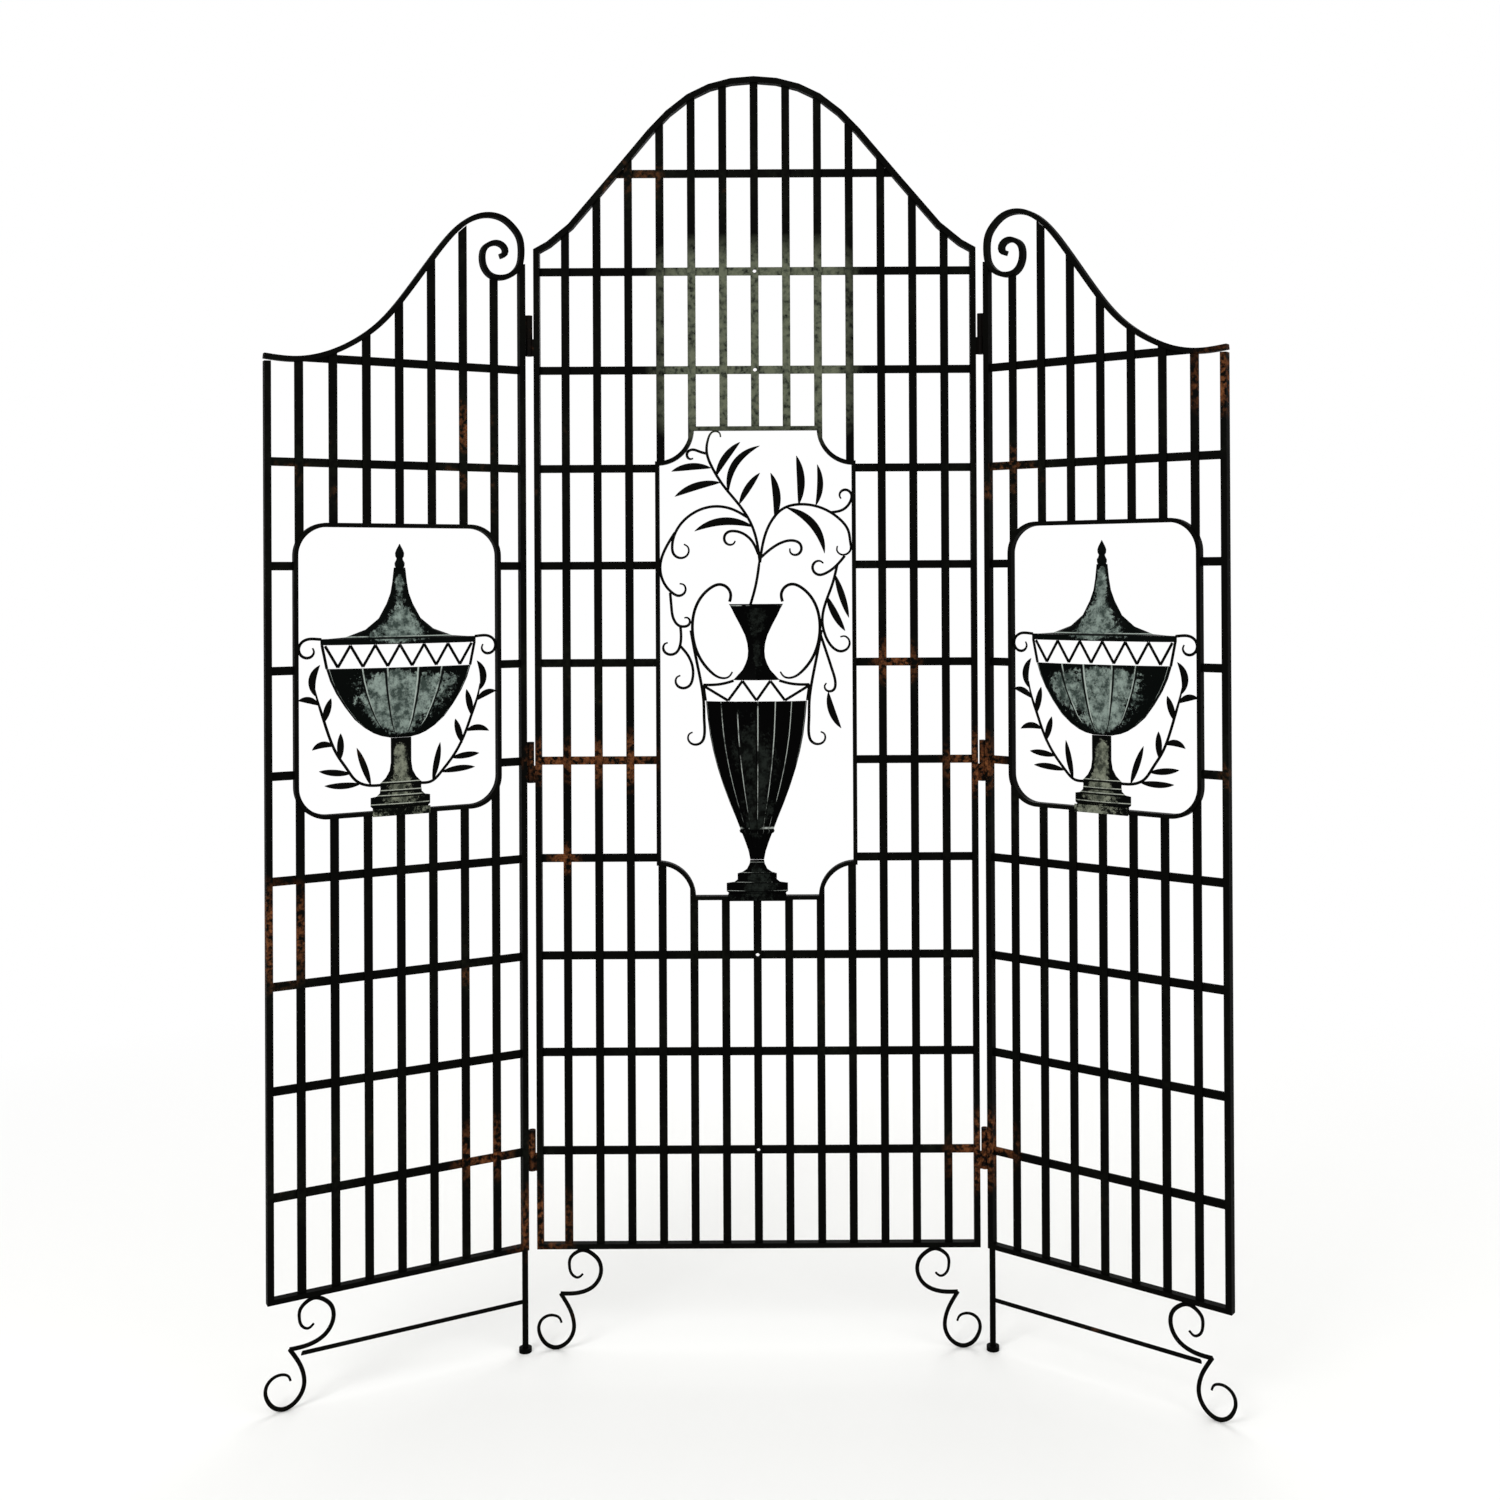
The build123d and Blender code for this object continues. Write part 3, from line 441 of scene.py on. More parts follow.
# Making objects
def joined(parts):
    """Several (vertices, faces) put together as one, with the faces' numbers moved on."""
    vertices, faces, start = [], [], 0
    for points, polygons, *_ in parts:
        vertices.append(points)
        faces += [[start + corner for corner in polygon] for polygon in polygons]
        start += len(points)
    return np.concatenate(vertices), faces


def shifted(part, x):
    """The same form set off sideways."""
    points = np.array(part[0], float)
    points[:, 0] += x
    return (points, *part[1:])


def flipped(part):
    """The same form on the other side of the middle line."""
    points = np.array(part[0], float)
    points[:, 0] *= -1
    return points, [polygon[::-1] for polygon in part[1]], *part[2:]


def make(name, leaf, part, slot, nodes, uv=None, look=None):
    """One finished piece in place of its CAD nodes, riding on its leaf. look names a finish
    other than its slot's own."""
    vertices, faces = part[0], part[1]
    mesh = bpy.data.meshes.new(name)
    mesh.from_pydata(world(leaf, vertices).tolist(), [], faces)
    if uv is not None:
        layer = mesh.uv_layers.new(name="relief")
        corners = np.zeros(len(mesh.loops), np.int32)
        mesh.loops.foreach_get("vertex_index", corners)
        layer.data.foreach_set("uv", uv[corners].astype(np.float32).ravel())
    shell = bmesh.new()
    shell.from_mesh(mesh)
    bmesh.ops.recalc_face_normals(shell, faces=shell.faces)
    shell.to_mesh(mesh)
    shell.free()
    mesh.shade_smooth()
    mesh.set_sharp_from_angle(angle=math.radians(SHARP_ANGLE))
    piece = bpy.data.objects.new(name, mesh)
    bpy.context.scene.collection.objects.link(piece)
    mesh.materials.append(MATERIALS[look or slot]())
    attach(piece, body_of_leaf(leaf))
    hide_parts(*nodes)


# Colour and materials
def linear(code):
    """sRGB hex to linear colour."""
    values = [int(code[i:i + 2], 16) / 255 for i in (1, 3, 5)]
    curve = [v / 12.92 if v <= 0.04045 else ((v + 0.055) / 1.055) ** 2.4 for v in values]
    return (*curve, 1)


def hex_of(colour):
    """sRGB hex from a linear colour property."""
    curve = [12.92 * v if v <= 0.0031308 else 1.055 * v ** (1 / 2.4) - 0.055 for v in colour[:3]]
    return "#" + "".join(f"{round(max(0, min(1, v)) * 255):02x}" for v in curve)


def add(tree, kind, settings=None, **links):
    """Adds a node, gives it its settings, and links or fills its inputs by name or number."""
    node = tree.nodes.new(kind)
    for key, value in (settings or {}).items():
        setattr(node, key, value)
    for key, value in links.items():
        target = node.inputs[int(key[1:])] if key[0] == "i" and key[1:].isdigit() \
            else node.inputs[key.replace("_", " ")]
        if isinstance(value, bpy.types.NodeSocket):
            tree.links.new(value, target)
        else:
            target.default_value = value
    return node


def new_material(name):
    """Empty material and its node tree."""
    material = bpy.data.materials.new(name)
    material.use_nodes = True
    tree = material.node_tree
    tree.nodes.clear()
    return material, tree


def noise(tree, place, size_mm, detail=4.0, rough=0.6):
    """Noise whose grain is about size_mm across."""
    found = add(tree, "ShaderNodeTexNoise", Vector=place, Scale=1000 / size_mm, Detail=detail,
                Roughness=rough)
    return found.outputs["Fac"]


def ramp(tree, value, low, high):
    """0 below low, 1 above high, and a straight slope between."""
    found = add(tree, "ShaderNodeMapRange", {"clamp": True}, Value=value, From_Min=low,
                From_Max=high)
    return found.outputs["Result"]


def sum_of(tree, kind, a, b):
    """Two values put together by a kind of sum, kept between 0 and 1."""
    found = add(tree, "ShaderNodeMath", {"operation": kind, "use_clamp": True}, i0=a, i1=b)
    return found.outputs[0]


def blend_colour(tree, share, a, b):
    """Colour a where share is 0, passing to b where it is 1."""
    found = add(tree, "ShaderNodeMix", {"data_type": "RGBA"}, i0=share, i6=a, i7=b)
    return found.outputs[2]


def near(tree, place, spot, reach_mm):
    """1 at a spot, given in metres, falling to 0 at reach_mm from it."""
    gap = add(tree, "ShaderNodeVectorMath", {"operation": "DISTANCE"}, i0=place, i1=spot)
    return add(tree, "ShaderNodeMapRange", {"clamp": True}, Value=gap.outputs["Value"],
               From_Min=reach_mm * MM * 0.35, From_Max=reach_mm * MM, To_Min=1.0,
               To_Max=0.0).outputs["Result"]


def at(leaf, x, z):
    """A spot on a leaf, in metres."""
    return tuple(world(leaf, [(x, 0, z)])[0])


# Old matt paint reflects less than new paint
MATT_GLOSS = 0.015

# Where rust shows most in the finish, as (leaf, x, z, reach in mm), and its paler tone
PALE_RUST = "#6e4325"
RUST_SPOTS = [("centre", -330, 930.6, 45), ("centre", -270, 930.6, 50),
              ("centre", -205, 930.6, 55), ("centre", -305, 776, 30), ("centre", 221, 1085, 45),
              ("centre", 345, 925, 60), ("centre", -345, 205, 70), ("centre", 345, 300, 60),
              ("left", 400, 700, 90), ("left", 80, 330, 60), ("right", 12, 330, 60),
              ("right", 395, 1500, 60)]

# Where the paint has faded to a grey-green, above the bouquet, and its darker and paler tone
FADED_TONES = ("#3f4439", "#585c4c")
FADED_SPOTS = [("centre", x, z, 75) for x in (-100, -50, 0, 50, 100)
               for z in (1690, 1620, 1550, 1500)]


def painted_iron(name, paint, worn, rust, rusty):
    """Forged bar under old brushed black paint: nearly black and half matt, with a grey-green
    bloom where it has worn and dry brown rust that has come through in patches."""
    material, tree = new_material(name)
    place = add(tree, "ShaderNodeTexCoord").outputs["Object"]
    cloud = noise(tree, place, 160)
    fine = noise(tree, place, 9, 6)
    speck = noise(tree, place, 3.5, 3)
    bloom = sum_of(tree, "MULTIPLY", ramp(tree, cloud, 0.50, 0.75), ramp(tree, fine, 0.35, 0.62))
    colour = blend_colour(tree, bloom, linear(paint), linear(worn))
    faded = 0.0
    for leaf, x, z, reach in FADED_SPOTS:
        faded = sum_of(tree, "MAXIMUM", near(tree, place, at(leaf, x, z), reach), faded)
    faded = sum_of(tree, "MULTIPLY", faded, ramp(tree, fine, 0.30, 0.46))
    olive = blend_colour(tree, ramp(tree, fine, 0.4, 0.6), *map(linear, FADED_TONES))
    colour = blend_colour(tree, faded, colour, olive)
    share = ramp(tree, cloud, 0.66 - rusty, 0.78 - rusty)
    for leaf, x, z, reach in RUST_SPOTS:
        share = sum_of(tree, "MAXIMUM", share, near(tree, place, at(leaf, x, z), reach))
    mottle = sum_of(tree, "MULTIPLY", share, ramp(tree, fine, 0.44, 0.58))
    brown = blend_colour(tree, ramp(tree, speck, 0.35, 0.65), linear(rust), linear(PALE_RUST))
    colour = blend_colour(tree, mottle, colour, brown)
    rough = add(tree, "ShaderNodeMapRange", Value=fine, To_Min=0.42, To_Max=0.68)
    bump = add(tree, "ShaderNodeBump", Strength=0.35, Distance=0.0006, Height=fine)
    shader = add(tree, "ShaderNodeBsdfPrincipled", Base_Color=colour, Metallic=0.0,
                 Roughness=rough.outputs["Result"], Specular_IOR_Level=MATT_GLOSS,
                 Normal=bump.outputs["Normal"])
    add(tree, "ShaderNodeOutputMaterial", Surface=shader.outputs[0])
    return material


def strip(tree, across, middle, half):
    """1 within half of a place across the sheet, fading to 0 at twice that."""
    gap = add(tree, "ShaderNodeMath", {"operation": "SUBTRACT"}, i0=across, i1=middle)
    gap = add(tree, "ShaderNodeMath", {"operation": "ABSOLUTE"}, i0=gap.outputs[0])
    return add(tree, "ShaderNodeMapRange", {"clamp": True}, Value=gap.outputs[0],
               From_Min=half, From_Max=half * 2, To_Min=1.0, To_Max=0.0).outputs["Result"]


def bend_out(tree, value, most, power):
    """0 in the middle of a map from 0 to 1, rising as a power to most at either end."""
    gap = add(tree, "ShaderNodeMath", {"operation": "SUBTRACT"}, i0=value, i1=0.5)
    gap = add(tree, "ShaderNodeMath", {"operation": "ABSOLUTE"}, i0=gap.outputs[0])
    rise = add(tree, "ShaderNodeMath", {"operation": "POWER"}, i0=gap.outputs[0], i1=power)
    return sum_of(tree, "MULTIPLY", rise.outputs[0], most * 2**power)


def pressed_sheet(name, dark, green, pale, highlight_colour, stains_and_shade, seams=(), grooves=()):
    """Pressed iron sheet with an old slate-green patina: cloudy and blackened in stains, with
    painted shade that darkens it towards its sides, where the relief turns from the light, and
    darker towards its top and bottom edges. Each raised seam has a painted shade line in its
    crease and a painted pale highlight beside it. grooves are level creases, shaded and lit
    the same way, as shares of the piece's height."""
    material, tree = new_material(name)
    place = add(tree, "ShaderNodeTexCoord").outputs["Object"]
    sheet = add(tree, "ShaderNodeUVMap", {"uv_map": "relief"}).outputs["UV"]
    across = add(tree, "ShaderNodeSeparateXYZ", Vector=sheet).outputs["X"]
    tall = add(tree, "ShaderNodeSeparateXYZ", Vector=sheet).outputs["Y"]
    cloud = noise(tree, place, 70, 7, 0.72)
    fine = noise(tree, place, 16, 6, 0.75)
    speck = noise(tree, place, 5, 5, 0.8)
    colour = blend_colour(tree, ramp(tree, fine, 0.43, 0.60), linear(green), linear(pale))
    stain_and_shade_level = sum_of(tree, "ADD", sum_of(tree, "MULTIPLY", cloud, 0.5),
                   sum_of(tree, "MULTIPLY", speck, 0.4))
    # Painted shade: darker towards the sheet's sides, where the relief turns from the light.
    stain_and_shade_level = sum_of(tree, "ADD", stain_and_shade_level, bend_out(tree, across, 0.34, 1.5))
    # Darker towards the top and bottom edges.
    stain_and_shade_level = sum_of(tree, "ADD", stain_and_shade_level, bend_out(tree, tall, 0.18, 6))
    # Stains and this painted shade together turn the sheet black.
    black = ramp(tree, stain_and_shade_level, 0.54 - stains_and_shade, 0.57 - stains_and_shade)
    colour = blend_colour(tree, black, colour, linear(dark))
    # Painted shade: a dark line in the crease of each raised seam and level groove, and a painted
    # highlight on the edge beside it.
    painted_crease_shade, painted_edge_highlight = 0.0, 0.0
    for seam in seams:
        middle = seam / 180 + 0.5
        beside = middle + (SEAM_BESIDE if seam <= 0 else -SEAM_BESIDE)
        painted_crease_shade = sum_of(tree, "MAXIMUM", strip(tree, across, middle, SEAM_CREASE_SHADE), painted_crease_shade)
        painted_edge_highlight = sum_of(tree, "MAXIMUM", strip(tree, across, beside, SEAM_HIGHLIGHT), painted_edge_highlight)
    painted_edge_highlight = sum_of(tree, "MULTIPLY", painted_edge_highlight, ramp(tree, tall, 0.16, 0.20))
    for groove in grooves:
        above = groove + GROOVE_BESIDE
        painted_crease_shade = sum_of(tree, "MAXIMUM", strip(tree, tall, groove, GROOVE_CREASE_SHADE), painted_crease_shade)
        painted_edge_highlight = sum_of(tree, "MAXIMUM", strip(tree, tall, above, GROOVE_HIGHLIGHT), painted_edge_highlight)
    # Painted shade in the creases.
    colour = blend_colour(tree, painted_crease_shade, colour, linear(dark))
    # Painted highlight beside each seam and groove, broken up by the cloud.
    painted_edge_highlight = sum_of(tree, "MULTIPLY", painted_edge_highlight, ramp(tree, cloud, 0.42, 0.52))
    colour = blend_colour(tree, painted_edge_highlight, colour, linear(highlight_colour))
    rough = add(tree, "ShaderNodeMapRange", Value=fine, To_Min=0.38, To_Max=0.62)
    bump = add(tree, "ShaderNodeBump", Strength=0.5, Distance=0.0008, Height=fine)
    shader = add(tree, "ShaderNodeBsdfPrincipled", Base_Color=colour, Metallic=0.0,
                 Roughness=rough.outputs["Result"], Specular_IOR_Level=MATT_GLOSS,
                 Normal=bump.outputs["Normal"])
    add(tree, "ShaderNodeOutputMaterial", Surface=shader.outputs[0])
    return material


_made = {}


def once(key, builder):
    """Makes a material the first time it is asked for."""
    def get():
        if key not in _made:
            _made[key] = builder()
        return _made[key]
    return get


def finish():
    """What the user has set."""
    return bpy.context.scene.screen_finish


# Half widths of a seam's painted crease shade and of the painted highlight beside it, and how
# far off that highlight lies, as shares of the half turn across the sheet. A level groove's are
# shares of the piece's height.
SEAM_CREASE_SHADE, SEAM_HIGHLIGHT, SEAM_BESIDE = 0.0035, 0.0022, 0.010
GROOVE_CREASE_SHADE, GROOVE_HIGHLIGHT, GROOVE_BESIDE = 0.008, 0.004, 0.02

# Tones of the pressed sheet: stains and painted shade, patina, rubbed patina, painted highlight
# beside the seams and grooves
BLACKENED = ("#010101", "#050605", "#1a1e1b", "#979d97")
SLATE_GREEN = ("#040605", "#343e3a", "#7d8a83", "#98a29b")
OLIVE_GREEN = ("#040504", "#30342c", "#747869", "#9a9f93")

MATERIALS = {
    "frame_iron": once("frame", lambda: painted_iron(
        "black painted iron, frame", hex_of(finish().paint), "#12140f", "#3d1f12", 0.0)),
    "lattice_iron": once("lattice", lambda: painted_iron(
        "black painted flat bar", hex_of(finish().paint), "#13150f", "#3d1f12", 0.0)),
    "foot_iron": once("foot", lambda: painted_iron(
        "black painted round iron", hex_of(finish().paint), "#12130e", "#3a2014", 0.02)),
    "hinge_iron": once("hinge", lambda: painted_iron(
        "rusted hinge iron", "#0a0807", "#1c1711", "#4a2818", 0.12)),
    "ornament_iron": once("ornament", lambda: painted_iron(
        "black painted wire", hex_of(finish().paint), "#0d0e0a", "#3d1f12", 0.01)),
    "vase_iron": once("vase", lambda: pressed_sheet(
        "blackened fluted sheet", *BLACKENED, 0.07, BODY_SEAMS, (0.18,))),
    "vase_neck": once("vase neck", lambda: pressed_sheet(
        "blackened rolled sheet", *BLACKENED, 0.07, (), (0.96,))),
    "vase_foot": once("vase foot", lambda: pressed_sheet(
        "blackened stepped sheet", *BLACKENED, 0.07, (), (0.12, 0.36, 0.63, 0.92))),
    "urn_iron": once("urn", lambda: pressed_sheet(
        "slate-green fluted sheet", *SLATE_GREEN, 0.01, BOWL_SEAMS)),
    "urn_lid": once("urn lid", lambda: pressed_sheet(
        "slate-green drawn sheet", *SLATE_GREEN, 0.02, (), (0.08,))),
    "urn_foot": once("urn foot", lambda: pressed_sheet(
        "olive-green stepped sheet", *OLIVE_GREEN, 0.02, (), (0.07, 0.19, 0.26, 0.37))),
}


# What a user may change
class ScreenFinish(bpy.types.PropertyGroup):
    """The screen's paint and thin wire, and the floor that it stands on"""
    paint: bpy.props.FloatVectorProperty(
        name="Paint", description="Colour of the old black paint", subtype="COLOR", size=3,
        min=0, max=1, default=linear("#050504")[:3])
    wire_width: bpy.props.FloatProperty(
        name="Wire width", description="Width of the thin ornament wire across its face",
        default=WIRE_FACE * MM, min=0.001, max=0.006, unit="LENGTH")
    floor: bpy.props.FloatVectorProperty(
        name="Floor", description="Colour of the floor", subtype="COLOR", size=3,
        min=0, max=1, default=linear("#f2f2f0")[:3])


class SCREEN_OT_bars(bpy.types.Operator):
    """Finishes the bars, rails, rods and hinges of all three leaves in their paint"""
    bl_idname = "screen.bars"
    bl_label = "Bars and hinges"

    def execute(self, context):
        slots = {s["node"]: s["material_slot"] for s in frame["record"]["subparts"]}
        for name, node in frame["nodes"].items():
            node.data.materials.clear()
            if slots[name] in ("vase_iron", "urn_iron"):
                continue
            node.data.materials.append(MATERIALS[slots[name]]())
        return {"FINISHED"}


class SCREEN_OT_swept_bars(bpy.types.Operator):
    """Makes the swept top bars of the wings, each a bar carried into a volute"""
    bl_idname = "screen.swept_bars"
    bl_label = "Swept top bars"

    def execute(self, context):
        for leaf in ("left", "right"):
            path = smooth(SWEPT_BAR, 4)
            bar = carried(path, soft_bar(SWEPT_WIDTH, DEPTH))
            make(f"{leaf}-swept-top-bar", leaf, bar, "frame_iron", [f"{leaf}_swept_top_bar"])
        return {"FINISHED"}


def scroll_foot(tip):
    """Round rod in two scrolls that meet in a point, each drawn out thin in its curl: past a
    share of its length it loses a share of its thickness, evenly."""
    parts = []
    for line in (FOOT_UPPER, FOOT_LOWER):
        path = smooth(line, 2.5)
        share = np.linspace(0, 1, len(path))
        late = (share - FOOT_THINS_FROM) / (1 - FOOT_THINS_FROM)
        scale = 1 - FOOT_THINNED * np.clip(late, 0, 1)
        parts.append(carried(path, oval(ROD / 2, ROD / 2, 16), scale, scale))
    return shifted(joined(parts), tip)


class SCREEN_OT_feet(bpy.types.Operator):
    """Makes the scroll feet of the three leaves"""
    bl_idname = "screen.feet"
    bl_label = "Scroll feet"

    def execute(self, context):
        foot = scroll_foot(CENTRE_TIP)
        pair = joined([foot, flipped(foot)])
        make("centre-scroll-feet", "centre", pair, "foot_iron", ["centre_scroll_feet"])
        for leaf in ("left", "right"):
            make(f"{leaf}-scroll-foot", leaf, scroll_foot(WING_TIP), "foot_iron",
                 [f"{leaf}_scroll_foot"])
        return {"FINISHED"}


def urn_pieces(leaf):
    """Lid, bowl, foot and trim of one wing's urn."""
    slot = "urn_iron"
    lid = relief(URN_LID, 0.2, LID_SEAMS, 0.5)
    bud = turned(FINIAL)
    lid_uv = np.concatenate([lid[2], np.full((len(bud[0]), 2), FINIAL_SPOT)])
    form = shifted(joined([lid, bud]), WING_AXIS)
    make(f"{leaf}-urn-lid", leaf, form, slot, [f"{leaf}_urn_lid"], lid_uv, "urn_lid")
    bowl = relief(URN_BOWL, 0.16, BOWL_SEAMS)
    make(f"{leaf}-urn-bowl", leaf, shifted(bowl, WING_AXIS), slot, [f"{leaf}_urn_bowl"], bowl[2])
    foot = plinth(relief(URN_FOOT, 0, (), bow=FOOT_BOW), *URN_PLINTH)
    make(f"{leaf}-urn-foot", leaf, shifted(foot, WING_AXIS), slot, [f"{leaf}_urn_foot"],
         foot[2], "urn_foot")
    band = []
    step = URN_ZIGZAG_STEP
    for i in range(6):
        low = ((i - 2.5) * step, URN_ZIGZAG_BOTTOM)
        high = ((i - 3) * step, URN_ZIGZAG_TOP)
        after = ((i - 2) * step, URN_ZIGZAG_TOP)
        band += [straight_wire(high, low), straight_wire(low, after)]
    for side in (-1, 1):
        band.append(straight_wire(*[(side * x, z) for x, z in URN_BAND_EDGE]))
    make(f"{leaf}-urn-lattice", leaf, shifted(joined(band), WING_AXIS), "ornament_iron",
         [f"{leaf}_urn_lattice_band"])
    rim = wire(RIM_SCROLL)
    pair = shifted(joined([rim, flipped(rim)]), WING_AXIS)
    make(f"{leaf}-rim-scrolls", leaf, pair, "ornament_iron", [f"{leaf}_urn_rim_scrolls"])
    spray = [wire(INNER_STEM), wire(OUTER_STEM)]
    spray += [blade(*values) for values in INNER_LEAVES + OUTER_LEAVES]
    make(f"{leaf}-laurel", leaf, shifted(joined(spray), WING_AXIS), "ornament_iron",
         [f"{leaf}_laurel_branches"])


class SCREEN_OT_urns(bpy.types.Operator):
    """Makes the covered urns of the wings with their lattice, scrolls and laurel"""
    bl_idname = "screen.urns"
    bl_label = "Urns"

    def execute(self, context):
        for leaf in ("left", "right"):
            urn_pieces(leaf)
        return {"FINISHED"}


class SCREEN_OT_vase(bpy.types.Operator):
    """Makes the two-handled vase of the centre leaf"""
    bl_idname = "screen.vase"
    bl_label = "Vase"

    def execute(self, context):
        neck = relief(VASE_NECK, 0.3, NECK_SEAMS, 0.4)
        make("vase-neck", "centre", neck, "vase_iron", ["vase_neck"], neck[2], "vase_neck")
        body = relief(VASE_BODY, 0.22, BODY_SEAMS)
        make("vase-body", "centre", body, "vase_iron", ["vase_body"], body[2])
        foot = plinth(relief(VASE_FOOT, 0, (), bow=FOOT_BOW), *VASE_PLINTH)
        make("vase-foot", "centre", foot, "vase_iron", ["vase_foot"], foot[2], "vase_foot")
        half = [wire(SHOULDER, taper=1.0)]
        half += [straight_wire(a, b) for a, b in zip(VASE_ZIGZAG, VASE_ZIGZAG[1:])]
        half.append(straight_wire(*VASE_BAND_EDGE))
        band = joined(half + [flipped(part) for part in half])
        make("vase-lattice", "centre", band, "ornament_iron", ["vase_lattice_band"])
        handle = wire(HANDLE, HANDLE_WIRE)
        make("vase-handles", "centre", joined([handle, flipped(handle)]), "ornament_iron",
             ["vase_handles"])
        scroll = wire(SIDE_SCROLL, SCROLL_WIRE)
        make("vase-side-scrolls", "centre", joined([scroll, flipped(scroll)]), "ornament_iron",
             ["vase_side_scrolls"])
        return {"FINISHED"}


class SCREEN_OT_bouquet(bpy.types.Operator):
    """Makes the bouquet of scrolled stems and bladed leaves above the vase"""
    bl_idname = "screen.bouquet"
    bl_label = "Bouquet"

    def execute(self, context):
        stems = joined([wire(line) for line in BOUQUET_LINES])
        make("bouquet-stems", "centre", stems, "ornament_iron", ["bouquet_stems"])
        leaves = joined([blade(*values) for values in BOUQUET_LEAVES])
        make("bouquet-leaves", "centre", leaves, "ornament_iron", ["bouquet_leaves"])
        return {"FINISHED"}


# Stage. The camera is a pinhole fitted to the photograph: its place is in millimetres of the
# centre leaf's drawing, its focal length and middle in pixels of a square frame, its roll and
# lift in degrees, and its sensor in millimetres.
CAMERA_DISTANCE = 2592.7
CAMERA_SIDE = 64.0
CAMERA_HEIGHT = 1217.0
FOCAL_PIXELS = 1636.3
IMAGE_SIZE = 1500
MIDDLE_PIXEL = (796.3, 572.1)
CAMERA_ROLL = 0.278
CAMERA_LIFT = 0.232
SENSOR = 36.0

# Floor's half width, and from where to where its shadows fade to white. Strength of the light
# from all round. The spot that the lamps are aimed at, and the lamps as (name, place, watts,
# size). Lengths are in metres.
FLOOR_REACH = 14.0
FLOOR_FADE = (0.9, 2.6)
SKY_LEVEL = 0.75
LAMP_TARGET = (0, 0, 1.0)
LAMPS = (("key", (-2.2, -3.2, 3.2), 90, 1.8), ("fill", (2.8, -2.6, 1.8), 40, 2.2),
         ("rear", (0.5, 3.2, 2.6), 45, 2.2))


def floor_material():
    """Matt white board: it takes the screen's shadow near it and is white further away."""
    material, tree = new_material("matt white board")
    place = add(tree, "ShaderNodeTexCoord").outputs["Object"]
    away = add(tree, "ShaderNodeVectorMath", {"operation": "LENGTH"}, i0=place)
    fade = ramp(tree, away.outputs["Value"], *FLOOR_FADE)
    paths = add(tree, "ShaderNodeLightPath")
    seen = sum_of(tree, "MAXIMUM", paths.outputs["Is Camera Ray"], paths.outputs["Is Glossy Ray"])
    share = sum_of(tree, "MULTIPLY", fade, seen)
    board = add(tree, "ShaderNodeBsdfDiffuse", Color=(*finish().floor, 1))
    white = add(tree, "ShaderNodeEmission", Color=(1, 1, 1, 1), Strength=1.0)
    mix = add(tree, "ShaderNodeMixShader", i0=share, i1=board.outputs[0], i2=white.outputs[0])
    add(tree, "ShaderNodeOutputMaterial", Surface=mix.outputs[0])
    return material


def world_light():
    """Even grey light from all round, seen as white by the camera."""
    sky = bpy.data.worlds.new("studio")
    sky.use_nodes = True
    tree = sky.node_tree
    tree.nodes.clear()
    paths = add(tree, "ShaderNodeLightPath")
    seen = sum_of(tree, "MAXIMUM", paths.outputs["Is Camera Ray"], paths.outputs["Is Glossy Ray"])
    strength = add(tree, "ShaderNodeMapRange", Value=seen, To_Min=SKY_LEVEL,
                   To_Max=1.0)
    back = add(tree, "ShaderNodeBackground", Color=(1, 1, 1, 1),
               Strength=strength.outputs["Result"])
    add(tree, "ShaderNodeOutputWorld", Surface=back.outputs[0])
    bpy.context.scene.world = sky


def lamp(name, place, power, size):
    """Square soft light aimed at the middle of the screen."""
    data = bpy.data.lights.new(name, "AREA")
    data.energy = power
    data.size = size
    light = bpy.data.objects.new(name, data)
    light.location = place
    target = np.array(LAMP_TARGET) - np.array(place)
    flat = math.hypot(target[0], target[1])
    light.rotation_euler = (math.atan2(flat, -target[2]), 0,
                            math.atan2(target[1], target[0]) - math.pi / 2)
    bpy.context.scene.collection.objects.link(light)


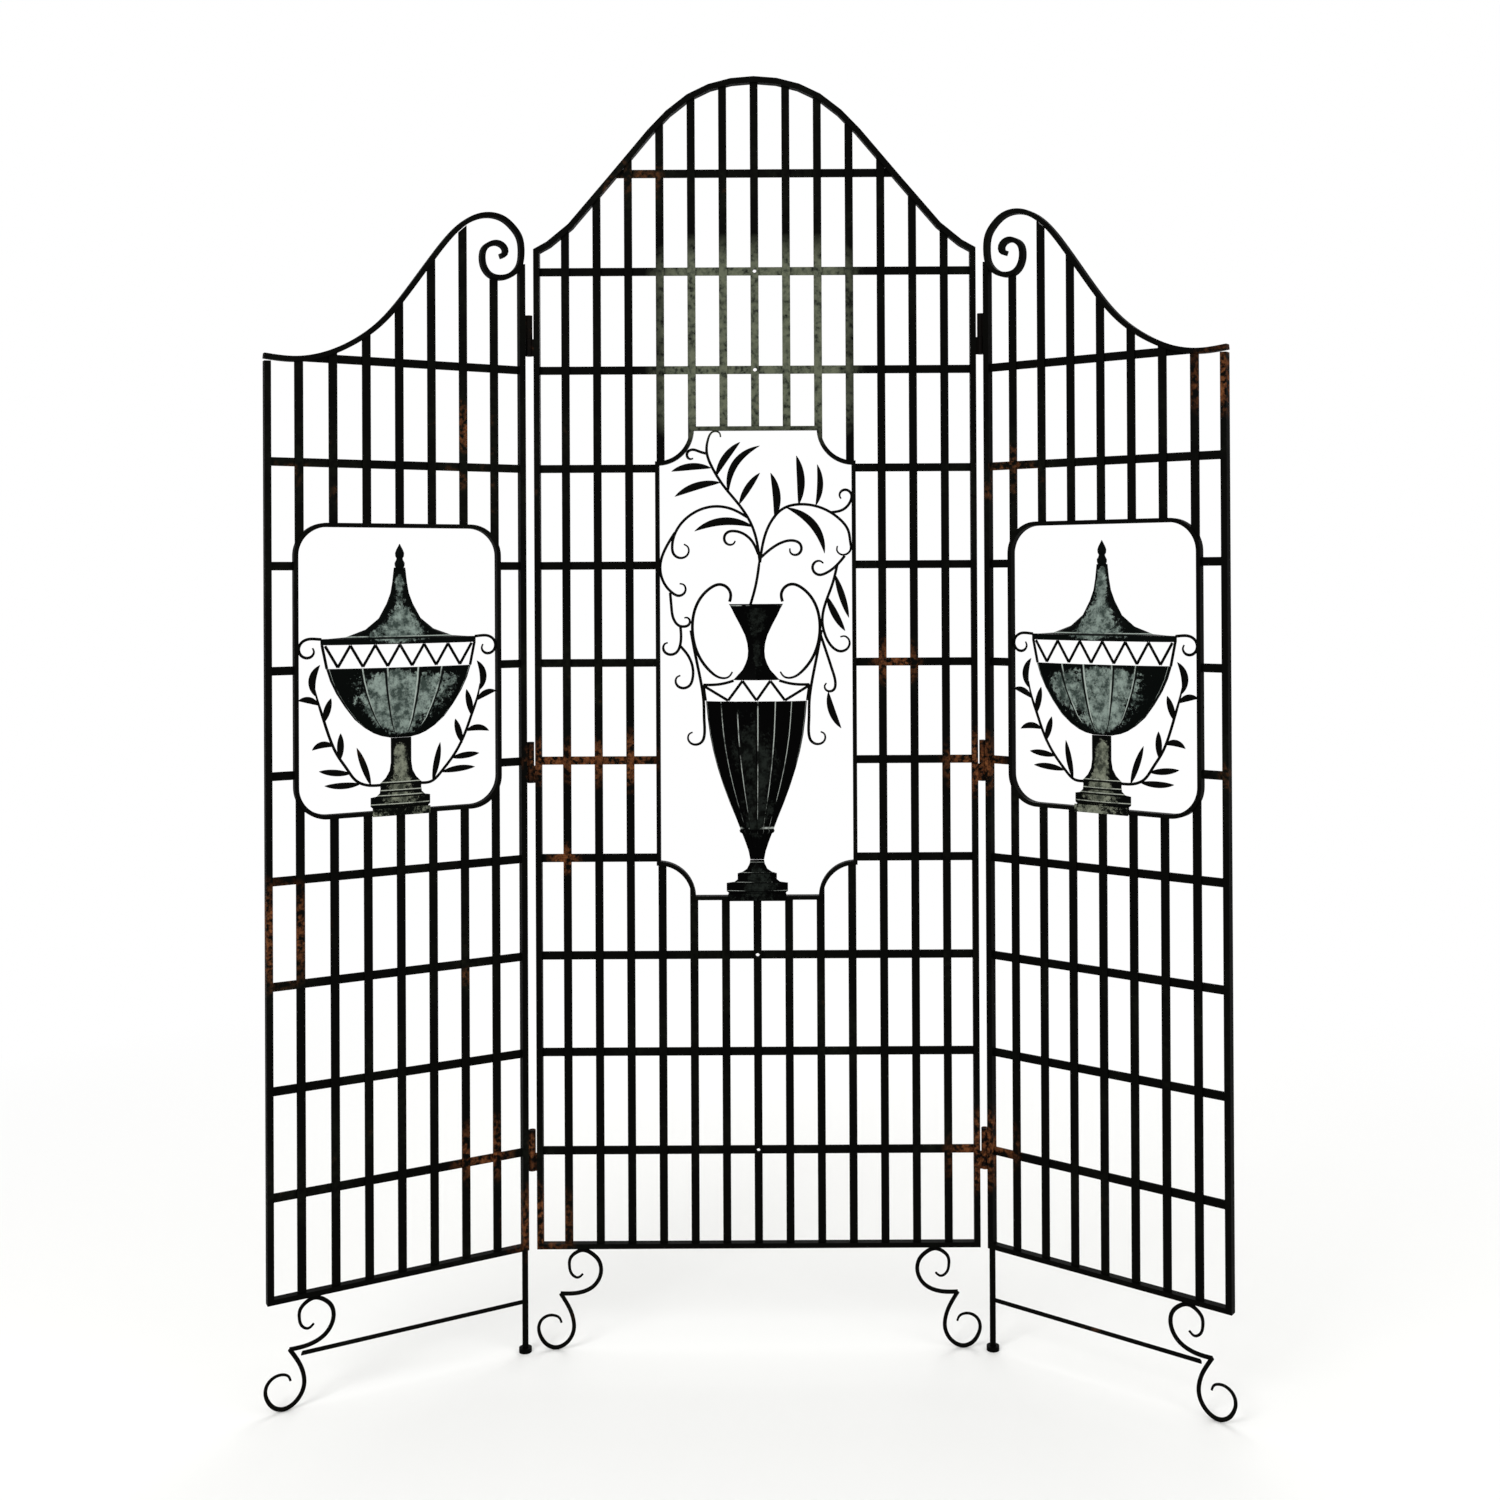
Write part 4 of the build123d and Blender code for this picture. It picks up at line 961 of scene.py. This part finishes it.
class SCREEN_OT_stage(bpy.types.Operator):
    """Sets the floor, the soft lights and the camera of the photograph"""
    bl_idname = "screen.stage"
    bl_label = "Stage"

    def execute(self, context):
        mesh = bpy.data.meshes.new("floor")
        reach = FLOOR_REACH
        corners = [(-reach, -reach, 0), (reach, -reach, 0), (reach, reach, 0), (-reach, reach, 0)]
        mesh.from_pydata(corners, [], [(0, 1, 2, 3)])
        floor = bpy.data.objects.new("floor", mesh)
        context.scene.collection.objects.link(floor)
        mesh.materials.append(floor_material())
        world_light()
        for settings in LAMPS:
            lamp(*settings)
        data = bpy.data.cameras.new("photo camera")
        data.sensor_width = SENSOR
        data.lens = SENSOR * FOCAL_PIXELS / IMAGE_SIZE
        data.shift_x = (IMAGE_SIZE / 2 - MIDDLE_PIXEL[0]) / IMAGE_SIZE
        data.shift_y = (MIDDLE_PIXEL[1] - IMAGE_SIZE / 2) / IMAGE_SIZE
        camera = bpy.data.objects.new("photo camera", data)
        place = world("centre", [(CAMERA_SIDE, -CAMERA_DISTANCE, CAMERA_HEIGHT)])[0]
        camera.location = place
        camera.rotation_euler = (math.radians(90 + CAMERA_LIFT), math.radians(CAMERA_ROLL), 0)
        context.scene.collection.objects.link(camera)
        context.scene.camera = camera
        context.scene.view_settings.view_transform = "Standard"
        return {"FINISHED"}


class SCREEN_PT_panel(bpy.types.Panel):
    """Lists the screen's pieces in the order in which they are made"""
    bl_label = "Folding screen"
    bl_idname = "SCREEN_PT_panel"
    bl_space_type = "VIEW_3D"
    bl_region_type = "UI"
    bl_category = "Screen"

    def draw(self, context):
        settings = context.scene.screen_finish
        for name in ("paint", "wire_width", "floor"):
            self.layout.prop(settings, name)
        for operator in OPERATORS:
            self.layout.operator(operator.bl_idname)


OPERATORS = (SCREEN_OT_bars, SCREEN_OT_swept_bars, SCREEN_OT_feet, SCREEN_OT_urns,
             SCREEN_OT_vase, SCREEN_OT_bouquet, SCREEN_OT_stage)


def register():
    for kind in (ScreenFinish, *OPERATORS, SCREEN_PT_panel):
        bpy.utils.register_class(kind)
    bpy.types.Scene.screen_finish = bpy.props.PointerProperty(type=ScreenFinish)


def unregister():
    del bpy.types.Scene.screen_finish
    for kind in reversed((ScreenFinish, *OPERATORS, SCREEN_PT_panel)):
        bpy.utils.unregister_class(kind)


def main():
    register()
    bpy.ops.screen.bars()
    bpy.ops.screen.swept_bars()
    bpy.ops.screen.feet()
    bpy.ops.screen.urns()
    bpy.ops.screen.vase()
    bpy.ops.screen.bouquet()
    bpy.ops.screen.stage()


if __name__ == "__main__":
    main()
